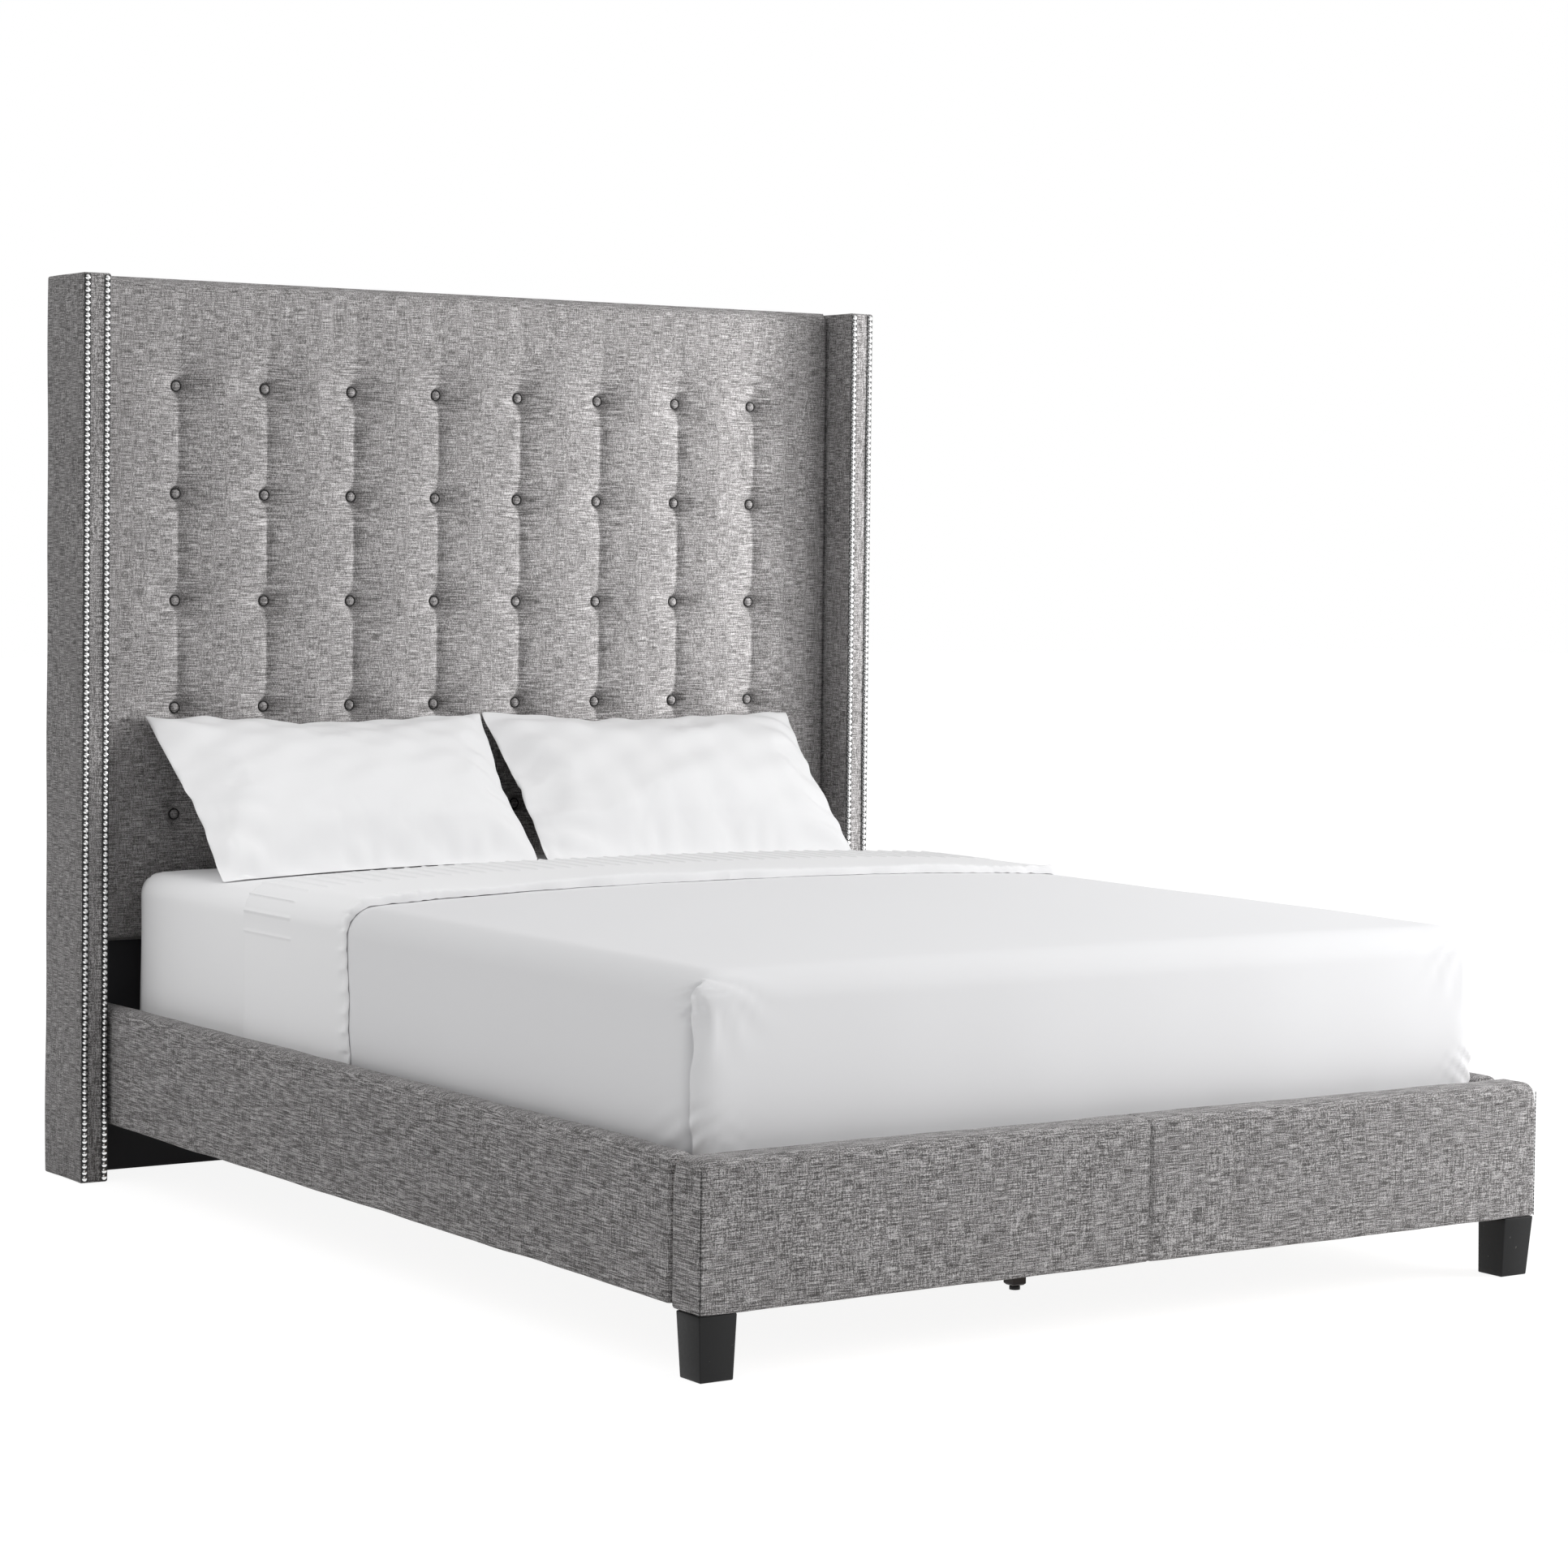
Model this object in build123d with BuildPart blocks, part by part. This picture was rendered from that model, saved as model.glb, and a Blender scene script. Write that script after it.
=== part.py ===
from build123d import *
from math import cos, pi, sin, sqrt
import os

os.makedirs("parts", exist_ok=True)

# A queen size wingback bed with its mattress, bedding and pillows.
# The origin is on the floor under the middle of the bed, +Z is up and the head of the bed is at +Y.

# Gaps and overrun
seat_gap = 0.3
bore_clearance = 0.1
hole_clearance = 0.5
overrun = 5

# Mattress, which the bed is made to fit
mattress_width = 1524
mattress_length = 2032
mattress_height = 302
mattress_crown = 20
mattress_corner_radius = 62
mattress_corner_shares = (0.0, 1 / 3, 2 / 3, 1.0)
mattress_edge_radius = 44
mattress_rounding_shares = (0.0, 0.50, 0.87, 1.0)
# Each row is one level of the crown: its place towards the middle and its rise
mattress_crown_shares = ((0.14, 0.42), (0.34, 0.80), (0.64, 1.00))
mattress_sink = 54
mattress_side_clearance = 2.5
mattress_foot_clearance = 18
mattress_head_clearance = 7

# Bedding
fitted_sheet_thickness = 1.5
coverlet_thickness = 5
cuff_side_thickness = 5
cuff_top_thickness = 12
cuff_length = 395
cuff_from_head = 527
coverlet_under_cuff = 389
hem_above_mattress_base = 16

# Pillows, leaning on the headboard
pillow_width = 722
pillow_height = 440
pillow_thickness = 150
pillow_edge_z = 590
pillow_top_gap = 6
pillow_pair_gap = 6
pillow_foot_from_head = 347
pillow_foot_shift_left = -29
pillow_foot_shift_right = -48
# Each row is one section up the pillow: its place, its width and its thickness
pillow_section_shares = (
    (0.00, 0.945, 0.06),
    (0.04, 0.955, 0.36),
    (0.12, 0.945, 0.66),
    (0.27, 0.925, 0.91),
    (0.46, 0.915, 1.00),
    (0.64, 0.925, 0.90),
    (0.80, 0.950, 0.66),
    (0.92, 0.980, 0.36),
    (1.00, 1.000, 0.06),
)
# One quarter of a section, from the seam to the middle: across the width and out of the middle plane
pillow_quarter_shares = (
    (0.50, 0.04),
    (0.46, 0.24),
    (0.37, 0.40),
    (0.20, 0.48),
    (0.00, 0.50),
)

# Side rails
rail_height = 220
rail_base = 104
rail_padding = 16
rail_board_thickness = 28
rail_lining = 4
rail_top_padding = 14
rail_base_padding = 5
rail_roundness = 15

# Footboard
foot_thickness = 78
foot_height = 224
foot_base = 99
foot_padding = 18
foot_back_padding = 4
foot_end_padding = 18
foot_roundness = 17
foot_corner_roundness = 9
foot_top_padding = 16

# Wings
wing_thickness = 55
wing_depth = 168
wing_top_below_headboard = 3
wing_padding = 9
wing_roundness = 5
wing_gap = 6

# Headboard
headboard_height = 1694
pad_base = 440
pad_thickness = 36.5
pad_side_gap = 0.6
pad_wrap_thickness = 14
pad_wrap_roundness = 6
face_board_thickness = 8
frame_depth = 36
stile_width = 45
dust_cover_thickness = 1.5
dust_cover_recess = 1.2
dust_cover_base = 30
lower_panel_thickness = 18
lower_panel_base = 2
top_rail_height = 70
middle_rail_height = 70
middle_rail_base = 1010
lower_rail_height = 70
bottom_rail_height = 180
bottom_rail_base = 110

# Tufting of the headboard pad
tuft_columns = 8
tuft_rows = 5
tuft_column_pitch = 186
tuft_row_pitch = 204
tuft_top_row_z = 1492
tuft_depth = 20
tuft_landing = 24
tuft_side_depth = 9
tuft_valley_width = 7
tuft_fade = 1.2
pad_top_roundness = 24
pad_base_roundness = 14
fold_share = 0.36
bay_shares = (0.0, 0.18, 0.50, 0.82, 1.0)
between_row_shares = (0.24, 0.76)
fade_up_shares = (0.25, 0.65)
fade_down_shares = (0.35,)
rounding_shares = (0.0, 0.50, 0.87, 1.0)
button_radius = 10
button_height = 6
button_sides = 6
button_taper = 32

# Nailhead trim
nail_strip_width = 11
nail_strip_thickness = 2
nail_strip_inset = 8
nail_strip_end = 3

# Slats, ledges and centre beam
ledge_height = 30
ledge_width = 24
ledge_end_gap = 70
ledge_chamfer = 8
slat_count = 14
slat_width = 68
slat_thickness = 18
slat_end_gap = 3
slat_first_from_foot = 62
slat_last_from_head = 62
webbing_width = 25
webbing_thickness = 1.2
webbing_half_spacing = 480
beam_width = 50
beam_height = 40
beam_end_gap = 3
saddle_thickness = 2.5
saddle_length = 45
saddle_flange = 26

# Centre legs and their levellers
centre_leg_side = 26
centre_leg_chamfer = 3
centre_leg_first_from_foot = 268
centre_leg_spacing = 745
centre_leg_names = ("front", "middle", "rear")
pad_foot_radius = 9
pad_foot_height = 7
pad_foot_sides = 16
pad_foot_edge = 2
stud_radius = 3
stud_length = 34
stud_seat_depth = 4

# Front legs
front_leg_width = 65
front_leg_depth = 64
front_leg_inset_side = 1
front_leg_inset_front = 2
front_leg_taper_out = 7
front_leg_taper_in = 1
front_leg_edge = 2

# Fasteners
bolt_radius = 4
bolt_sides = 8
bolt_head_sides = 6
bolt_head_radius = 6.5
bolt_head_height = 5
wing_bolt_grip = 22
wing_bolt_shares = (0.195, 0.556, 0.917)
bracket_bolt_grip = 18
saddle_bolt_radius = 2.5
saddle_bolt_grip = 16
hanger_in_leg = 45
hanger_in_board = 55
bracket_flange = 52
bracket_thickness = 4
bracket_height = 92
bracket_below_ledge = 8
bracket_bolt_edge = 22
bracket_bolt_reach = 32
bracket_bend = 5

# Places across the bed
layer_under_coverlet = seat_gap + fitted_sheet_thickness + seat_gap
layer_under_cuff = layer_under_coverlet + coverlet_thickness + seat_gap
rail_inner = mattress_width / 2 + layer_under_cuff + cuff_side_thickness + mattress_side_clearance
rail_board_inner = rail_inner + rail_lining
rail_board_outer = rail_board_inner + rail_board_thickness
rail_outer = rail_board_outer + rail_padding
wing_inner = rail_outer + wing_gap
wing_outer = wing_inner + wing_thickness
stile_outer = wing_inner - seat_gap
stile_inner = stile_outer - stile_width

# Places along the bed, worked out from the foot and then centred
bedding_at_foot = layer_under_coverlet + coverlet_thickness
bedding_at_head = seat_gap + fitted_sheet_thickness
bed_length = (
    foot_thickness
    + mattress_foot_clearance
    + bedding_at_foot
    + mattress_length
    + bedding_at_head
    + mattress_head_clearance
    + pad_thickness
    + seat_gap
    + face_board_thickness
    + seat_gap
    + frame_depth
    + seat_gap
    + dust_cover_thickness
    + dust_cover_recess
)
foot_front = -bed_length / 2
foot_back = foot_front + foot_thickness
mattress_foot = foot_back + mattress_foot_clearance + bedding_at_foot
mattress_head = mattress_foot + mattress_length
mattress_middle = (mattress_foot + mattress_head) / 2
pad_front = mattress_head + bedding_at_head + mattress_head_clearance
pad_back = pad_front + pad_thickness
face_board_front = pad_back + seat_gap
frame_front = face_board_front + face_board_thickness + seat_gap
frame_back = frame_front + frame_depth
dust_cover_front = frame_back + seat_gap
headboard_back = dust_cover_front + dust_cover_thickness
wing_back = headboard_back + dust_cover_recess
wing_front = wing_back - wing_depth
lower_panel_back = frame_front - seat_gap
lower_panel_front = lower_panel_back - lower_panel_thickness
rail_foot_end = foot_back + seat_gap
rail_head_end = lower_panel_front - seat_gap
cuff_head = mattress_head - cuff_from_head
cuff_foot = cuff_head - cuff_length
coverlet_head = cuff_foot + coverlet_under_cuff

# Heights
rail_top = rail_base + rail_height
mattress_base = rail_top - mattress_sink
mattress_edge_z = mattress_base + mattress_height
hem_z = mattress_base + hem_above_mattress_base
slat_top = mattress_base - seat_gap
slat_base = slat_top - slat_thickness
ledge_top = slat_base - seat_gap
ledge_base = ledge_top - ledge_height
beam_top = slat_base - seat_gap
beam_base = beam_top - beam_height
centre_leg_top = beam_base - seat_gap
bracket_top = ledge_base - bracket_below_ledge
bracket_base = bracket_top - bracket_height
bracket_bolt_heights = (bracket_base + bracket_bolt_edge, bracket_top - bracket_bolt_edge)
bracket_bolt_x = rail_board_inner - bracket_bolt_reach
wing_height = headboard_height - wing_top_below_headboard
wing_bolt_heights = [wing_height * share for share in wing_bolt_shares]
frame_top = headboard_height - pad_wrap_thickness - seat_gap
foot_top = foot_base + foot_height
leg_top = foot_base - seat_gap


def block(low, high):
    """Box between two corners, for use as one feature of a piece."""
    size = [high[i] - low[i] for i in range(len(low))]
    centre = [(high[i] + low[i]) / 2 for i in range(len(low))]
    with Locations(tuple(centre)):
        Box(*size)


def block_cut(low, high):
    """The same box taken away."""
    size = [high[i] - low[i] for i in range(len(low))]
    centre = [(high[i] + low[i]) / 2 for i in range(len(low))]
    with Locations(tuple(centre)):
        Box(*size, mode=Mode.SUBTRACT)


def finish(part, label):
    """Names a finished piece and writes it."""
    part.label = label
    export_step(part, "parts/" + label + ".step")


# Headboard frame: two stiles on the floor and four cross rails between them
wing_bolt_y = (frame_front + frame_back) / 2
with BuildPart() as headboard_stile_left:
    block((-stile_outer, frame_front, 0), (-stile_inner, frame_back, frame_top))
    for height in wing_bolt_heights:
        with BuildSketch(Plane.YZ.offset(-stile_outer)):
            with Locations((wing_bolt_y, height)):
                RegularPolygon(bolt_radius + hole_clearance, bolt_sides)
        extrude(amount=stile_width, mode=Mode.SUBTRACT)
with BuildPart() as headboard_stile_right:
    mirror(headboard_stile_left.part, about=Plane.YZ)
finish(headboard_stile_left.part, "headboard_stile_left")
finish(headboard_stile_right.part, "headboard_stile_right")

cross_rail_end = stile_inner - seat_gap
cross_rails = (
    ("headboard_top_rail", frame_top - top_rail_height, top_rail_height),
    ("headboard_middle_rail", middle_rail_base, middle_rail_height),
    ("headboard_lower_rail", pad_base - lower_rail_height / 2, lower_rail_height),
)
for rail_name, base, height in cross_rails:
    with BuildPart() as headboard_cross_rail:
        block((-cross_rail_end, frame_front, base), (cross_rail_end, frame_back, base + height))
    finish(headboard_cross_rail.part, rail_name)

saddle_bolt_x = beam_width / 2 + bore_clearance + saddle_thickness + saddle_flange / 2
saddle_bolt_z = (beam_top + beam_base) / 2
with BuildPart() as headboard_bottom_rail:
    block(
        (-cross_rail_end, frame_front, bottom_rail_base),
        (cross_rail_end, frame_back, bottom_rail_base + bottom_rail_height),
    )
    for side in (-1, 1):
        for height in bracket_bolt_heights:
            with BuildSketch(Plane.XZ.offset(-frame_front)):
                with Locations((side * bracket_bolt_x, height)):
                    RegularPolygon(bolt_radius + bore_clearance, bolt_sides)
            extrude(amount=-(bracket_bolt_grip + overrun), mode=Mode.SUBTRACT)
finish(headboard_bottom_rail.part, "headboard_bottom_rail")

with BuildPart() as headboard_face_board:
    block(
        (-stile_outer, face_board_front, pad_base),
        (stile_outer, face_board_front + face_board_thickness, frame_top),
    )
finish(headboard_face_board.part, "headboard_face_board")

with BuildPart() as headboard_dust_cover:
    block(
        (-stile_outer, dust_cover_front, dust_cover_base),
        (stile_outer, headboard_back, frame_top),
    )
finish(headboard_dust_cover.part, "headboard_dust_cover")

# Black panel under the pad, with holes for the bolts of the rail brackets and the beam's saddle
with BuildPart() as headboard_lower_panel:
    block(
        (-stile_outer, lower_panel_front, lower_panel_base),
        (stile_outer, lower_panel_back, pad_base - seat_gap),
    )
    for side in (-1, 1):
        for height in bracket_bolt_heights:
            with BuildSketch(Plane.XZ.offset(-lower_panel_back)):
                with Locations((side * bracket_bolt_x, height)):
                    RegularPolygon(bolt_radius + bore_clearance, bolt_sides)
            extrude(amount=lower_panel_thickness, mode=Mode.SUBTRACT)
        with BuildSketch(Plane.XZ.offset(-lower_panel_back)):
            with Locations((side * saddle_bolt_x, saddle_bolt_z)):
                RegularPolygon(saddle_bolt_radius + bore_clearance, bolt_sides)
        extrude(amount=lower_panel_thickness, mode=Mode.SUBTRACT)
finish(headboard_lower_panel.part, "headboard_lower_panel")


# Tufted pad: a loft up through level sections. Each section runs along the front as nine crowned
# bays between eight valleys. A valley is deepest and widest where a row of buttons lands on it.
def fold_depth(away):
    """Depth of a valley as a share of the full depth, at a share of the pitch away from a row."""
    return fold_share + (1 - fold_share) * (1 + cos(2 * pi * away)) / 2


def pad_stations():
    """Height, depth of the valleys, width of the valleys and setback of the front, from the base up."""
    stations = []
    rows = [tuft_top_row_z - tuft_row_pitch * row for row in reversed(range(tuft_rows))]
    for share in reversed(rounding_shares[1:]):
        away = 1 - sqrt(1 - share * share)
        height = pad_base + pad_base_roundness * (1 - share)
        stations.append((height, tuft_fade, tuft_valley_width, pad_base_roundness * away))
    stations.append((pad_base + pad_base_roundness, tuft_fade, tuft_valley_width, 0))
    below = rows[0] - tuft_landing / 2 - pad_base - pad_base_roundness
    for share in reversed(fade_down_shares):
        depth = tuft_depth * fold_share * (1 - share) + tuft_fade * share
        stations.append((rows[0] - tuft_landing / 2 - below * share, depth, tuft_valley_width, 0))
    for row, centre in enumerate(rows):
        stations.append((centre - tuft_landing / 2, tuft_depth, tuft_landing, 0))
        stations.append((centre + tuft_landing / 2, tuft_depth, tuft_landing, 0))
        if row < tuft_rows - 1:
            for share in between_row_shares:
                height = centre + tuft_landing / 2 + (tuft_row_pitch - tuft_landing) * share
                stations.append((height, tuft_depth * fold_depth(share), tuft_valley_width, 0))
    top = headboard_height - pad_top_roundness
    above = top - tuft_top_row_z - tuft_landing / 2
    for share in fade_up_shares:
        depth = tuft_depth * fold_share * (1 - share) + tuft_fade * share
        stations.append((top - above * (1 - share), depth, tuft_valley_width, 0))
    for share in rounding_shares:
        away = 1 - sqrt(1 - share * share)
        height = top + pad_top_roundness * share
        stations.append((height, tuft_fade, tuft_valley_width, pad_top_roundness * away))
    return stations


pad_half_width = wing_inner - pad_side_gap
tuft_columns_x = [tuft_column_pitch * (i - (tuft_columns - 1) / 2) for i in range(tuft_columns)]
with BuildPart() as headboard_pad:
    for height, depth, valley, setback in pad_stations():
        crest = pad_front + setback
        with BuildSketch(Plane.XY.offset(height)):
            with BuildLine():
                outline = [(-pad_half_width, pad_back)]
                for bay in range(tuft_columns + 1):
                    first, last = bay == 0, bay == tuft_columns
                    left = -pad_half_width if first else tuft_columns_x[bay - 1] + valley / 2
                    right = pad_half_width if last else tuft_columns_x[bay] - valley / 2
                    for share in bay_shares:
                        at_side = share < 1 / 2 if first else last and share > 1 / 2
                        fall = tuft_side_depth if at_side else depth
                        outline.append((left + (right - left) * share, crest + fall * (2 * share - 1) ** 2))
                outline.append((pad_half_width, pad_back))
                Polyline(*outline, close=True)
            make_face()
    loft(ruled=True)
    # The cover goes over the top of the frame to the back
    with BuildSketch(Plane.YZ.offset(-pad_half_width)):
        with BuildLine():
            Polyline(
                (pad_back - pad_wrap_roundness, headboard_height),
                (pad_back - pad_wrap_roundness, headboard_height - pad_wrap_thickness),
                (headboard_back, headboard_height - pad_wrap_thickness),
                (headboard_back, headboard_height - pad_wrap_roundness),
            )
            RadiusArc(
                (headboard_back, headboard_height - pad_wrap_roundness),
                (headboard_back - pad_wrap_roundness, headboard_height),
                -pad_wrap_roundness,
            )
            Line(
                (headboard_back - pad_wrap_roundness, headboard_height),
                (pad_back - pad_wrap_roundness, headboard_height),
            )
        make_face()
    extrude(amount=2 * pad_half_width)
finish(headboard_pad.part, "headboard_pad")

# Covered buttons on the landings of the valleys
button_back = pad_front + tuft_depth - seat_gap
with BuildPart() as button:
    with BuildSketch(Plane.XZ.offset(-button_back)):
        RegularPolygon(button_radius, button_sides)
    extrude(amount=button_height, taper=button_taper)
with BuildPart() as tuft_buttons:
    for row in range(tuft_rows):
        for column_x in tuft_columns_x:
            with Locations((column_x, 0, tuft_top_row_z - tuft_row_pitch * row)):
                add(button.part)
finish(tuft_buttons.part, "tuft_buttons")

# Wings: a timber core that stands on the floor in a padded cover
core_inner = wing_inner + wing_padding
core_outer = wing_outer - wing_padding
core_front = wing_front + wing_padding
core_back = wing_back - wing_padding
core_top = wing_height - wing_padding
with BuildPart() as wing_core_left:
    block((-core_outer, core_front, 0), (-core_inner, core_back, core_top))
    for height in wing_bolt_heights:
        with BuildSketch(Plane.YZ.offset(-core_inner)):
            with Locations((wing_bolt_y, height)):
                RegularPolygon(bolt_radius + bore_clearance, bolt_sides)
        extrude(amount=-(wing_bolt_grip + overrun), mode=Mode.SUBTRACT)
with BuildPart() as wing_core_right:
    mirror(wing_core_left.part, about=Plane.YZ)
finish(wing_core_left.part, "wing_core_left")
finish(wing_core_right.part, "wing_core_right")

with BuildPart() as wing_cover_left:
    block((-wing_outer, wing_front, 0), (-wing_inner, wing_back, wing_height))
    fillet(wing_cover_left.edges().filter_by(Axis.Z), radius=wing_roundness)
    block_cut(
        (-core_outer - seat_gap, core_front - seat_gap, -overrun),
        (-core_inner + seat_gap, core_back + seat_gap, core_top + seat_gap),
    )
    for height in wing_bolt_heights:
        with BuildSketch(Plane.YZ.offset(-wing_inner)):
            with Locations((wing_bolt_y, height)):
                RegularPolygon(bolt_radius + hole_clearance, bolt_sides)
        extrude(amount=-wing_padding, mode=Mode.SUBTRACT)
with BuildPart() as wing_cover_right:
    mirror(wing_cover_left.part, about=Plane.YZ)
finish(wing_cover_left.part, "wing_cover_left")
finish(wing_cover_right.part, "wing_cover_right")

# Nailhead trim: two strips of touching domes down the front edge of each wing
nail_row_outer = wing_outer - nail_strip_inset
nail_row_inner = wing_inner + nail_strip_inset
with BuildPart() as nail_trim_left:
    for row_x in (nail_row_outer, nail_row_inner):
        block(
            (-row_x - nail_strip_width / 2, wing_front - seat_gap - nail_strip_thickness, nail_strip_end),
            (-row_x + nail_strip_width / 2, wing_front - seat_gap, wing_height - nail_strip_end),
        )
with BuildPart() as nail_trim_right:
    mirror(nail_trim_left.part, about=Plane.YZ)
finish(nail_trim_left.part, "nail_trim_left")
finish(nail_trim_right.part, "nail_trim_right")

# Bolts that hold the wings to the stiles, with their heads inside the frame
wing_bolt_length = stile_width + seat_gap + wing_padding + wing_bolt_grip
with BuildPart() as wing_bolts:
    for side in (-1, 1):
        for height in wing_bolt_heights:
            with BuildSketch(Plane.YZ.offset(side * (stile_inner - seat_gap))):
                with Locations((wing_bolt_y, height)):
                    RegularPolygon(bolt_radius, bolt_sides)
            extrude(amount=side * (wing_bolt_length + seat_gap))
            with BuildSketch(Plane.YZ.offset(side * (stile_inner - seat_gap))):
                with Locations((wing_bolt_y, height)):
                    RegularPolygon(bolt_head_radius, bolt_head_sides)
            extrude(amount=-side * bolt_head_height)
finish(wing_bolts.part, "wing_bolts")

# Side rails: a board in a padded cover that laps over its top and under its base
board_top = rail_top - rail_top_padding
board_base = rail_base + rail_base_padding
with BuildPart() as side_rail_board_left:
    block((-rail_board_outer, rail_foot_end, board_base), (-rail_board_inner, rail_head_end, board_top))
    for end in (rail_foot_end + bracket_bolt_reach, rail_head_end - bracket_bolt_reach):
        for height in bracket_bolt_heights:
            with BuildSketch(Plane.YZ.offset(-rail_board_inner)):
                with Locations((end, height)):
                    RegularPolygon(bolt_radius + bore_clearance, bolt_sides)
            extrude(amount=-(bracket_bolt_grip + overrun), mode=Mode.SUBTRACT)
with BuildPart() as side_rail_board_right:
    mirror(side_rail_board_left.part, about=Plane.YZ)
finish(side_rail_board_left.part, "side_rail_board_left")
finish(side_rail_board_right.part, "side_rail_board_right")

with BuildPart() as side_rail_cover_left:
    block((-rail_outer, rail_foot_end, rail_base), (-rail_inner, rail_head_end, rail_top))
    fillet(side_rail_cover_left.edges().filter_by(Axis.Y).group_by(Axis.Z)[-1], radius=rail_roundness)
    block_cut(
        (-rail_board_outer - seat_gap, rail_foot_end - overrun, board_base - seat_gap),
        (-rail_board_inner + seat_gap, rail_head_end + overrun, board_top + seat_gap),
    )
    # Below the slats the inner side of the board is bare
    block_cut(
        (-rail_board_inner - seat_gap, rail_foot_end - overrun, rail_base - overrun),
        (-rail_inner + overrun, rail_head_end + overrun, slat_top),
    )
with BuildPart() as side_rail_cover_right:
    mirror(side_rail_cover_left.part, about=Plane.YZ)
finish(side_rail_cover_left.part, "side_rail_cover_left")
finish(side_rail_cover_right.part, "side_rail_cover_right")

# Ledges on the inner side of the rail boards, which carry the ends of the slats
ledge_outer = rail_board_inner - seat_gap
ledge_inner = ledge_outer - ledge_width
with BuildPart() as slat_ledge_left:
    block(
        (-ledge_outer, rail_foot_end + ledge_end_gap, ledge_base),
        (-ledge_inner, rail_head_end - ledge_end_gap, ledge_top),
    )
    lower_edges = slat_ledge_left.edges().filter_by(Axis.Y).group_by(Axis.Z)[0]
    chamfer(lower_edges.sort_by(Axis.X)[-1], length=ledge_chamfer)
with BuildPart() as slat_ledge_right:
    mirror(slat_ledge_left.part, about=Plane.YZ)
finish(slat_ledge_left.part, "slat_ledge_left")
finish(slat_ledge_right.part, "slat_ledge_right")

# Footboard: a board in a padded cover that is open below
foot_board_front = foot_front + foot_padding
foot_board_back = foot_back - foot_back_padding
foot_board_end = rail_outer - foot_end_padding
foot_board_top = foot_top - foot_top_padding
hanger_x = rail_outer - front_leg_inset_side - front_leg_width / 2
hanger_y = foot_front + front_leg_inset_front + front_leg_depth / 2
with BuildPart() as footboard_board:
    block((-foot_board_end, foot_board_front, foot_base), (foot_board_end, foot_board_back, foot_board_top))
    for side in (-1, 1):
        with BuildSketch(Plane.XY.offset(foot_base)):
            with Locations((side * hanger_x, hanger_y)):
                RegularPolygon(bolt_radius + bore_clearance, bolt_sides)
        extrude(amount=hanger_in_board + overrun, mode=Mode.SUBTRACT)
        for height in bracket_bolt_heights:
            with BuildSketch(Plane.XZ.offset(-foot_board_back)):
                with Locations((side * bracket_bolt_x, height)):
                    RegularPolygon(bolt_radius + bore_clearance, bolt_sides)
            extrude(amount=bracket_bolt_grip + overrun, mode=Mode.SUBTRACT)
        with BuildSketch(Plane.XZ.offset(-foot_board_back)):
            with Locations((side * saddle_bolt_x, saddle_bolt_z)):
                RegularPolygon(saddle_bolt_radius + bore_clearance, bolt_sides)
        extrude(amount=saddle_bolt_grip + overrun, mode=Mode.SUBTRACT)
finish(footboard_board.part, "footboard_board")

with BuildPart() as footboard_cover:
    block((-rail_outer, foot_front, foot_base), (rail_outer, foot_back, foot_top))
    fillet(footboard_cover.edges().filter_by(Axis.Z), radius=foot_corner_roundness)
    fillet(footboard_cover.faces().sort_by(Axis.Z)[-1].edges(), radius=foot_roundness)
    block_cut(
        (-foot_board_end - seat_gap, foot_board_front - seat_gap, foot_base - overrun),
        (foot_board_end + seat_gap, foot_board_back + seat_gap, foot_board_top + seat_gap),
    )
    for side in (-1, 1):
        for height in bracket_bolt_heights:
            with BuildSketch(Plane.XZ.offset(-foot_back)):
                with Locations((side * bracket_bolt_x, height)):
                    RegularPolygon(bolt_radius + hole_clearance, bolt_sides)
            extrude(amount=foot_back_padding, mode=Mode.SUBTRACT)
        with BuildSketch(Plane.XZ.offset(-foot_back)):
            with Locations((side * saddle_bolt_x, saddle_bolt_z)):
                RegularPolygon(saddle_bolt_radius + hole_clearance, bolt_sides)
        extrude(amount=foot_back_padding, mode=Mode.SUBTRACT)
finish(footboard_cover.part, "footboard_cover")

# Tapered front legs under the ends of the footboard
leg_outer = rail_outer - front_leg_inset_side
leg_front = foot_front + front_leg_inset_front
with BuildPart() as front_leg_left:
    with BuildSketch(Plane.XY.offset(leg_top)):
        with Locations((-leg_outer + front_leg_width / 2, leg_front + front_leg_depth / 2)):
            Rectangle(front_leg_width, front_leg_depth)
        chamfer(vertices(), length=front_leg_edge)
    with BuildSketch(Plane.XY):
        foot_width = front_leg_width - front_leg_taper_out - front_leg_taper_in
        foot_depth = front_leg_depth - front_leg_taper_out - front_leg_taper_in
        foot_x = -leg_outer + front_leg_taper_out + foot_width / 2
        foot_y = leg_front + front_leg_taper_out + foot_depth / 2
        with Locations((foot_x, foot_y)):
            Rectangle(foot_width, foot_depth)
        chamfer(vertices(), length=front_leg_edge)
    loft(ruled=True)
    with BuildSketch(Plane.XY.offset(leg_top)):
        with Locations((-hanger_x, hanger_y)):
            RegularPolygon(bolt_radius + bore_clearance, bolt_sides)
    extrude(amount=-(hanger_in_leg + overrun), mode=Mode.SUBTRACT)
with BuildPart() as front_leg_right:
    mirror(front_leg_left.part, about=Plane.YZ)
finish(front_leg_left.part, "front_leg_left")
finish(front_leg_right.part, "front_leg_right")

with BuildPart() as leg_hanger_bolts:
    with BuildSketch(Plane.XY.offset(leg_top - hanger_in_leg)):
        with Locations((-hanger_x, hanger_y), (hanger_x, hanger_y)):
            RegularPolygon(bolt_radius, bolt_sides)
    extrude(amount=hanger_in_leg + seat_gap + hanger_in_board)
finish(leg_hanger_bolts.part, "leg_hanger_bolts")

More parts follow.
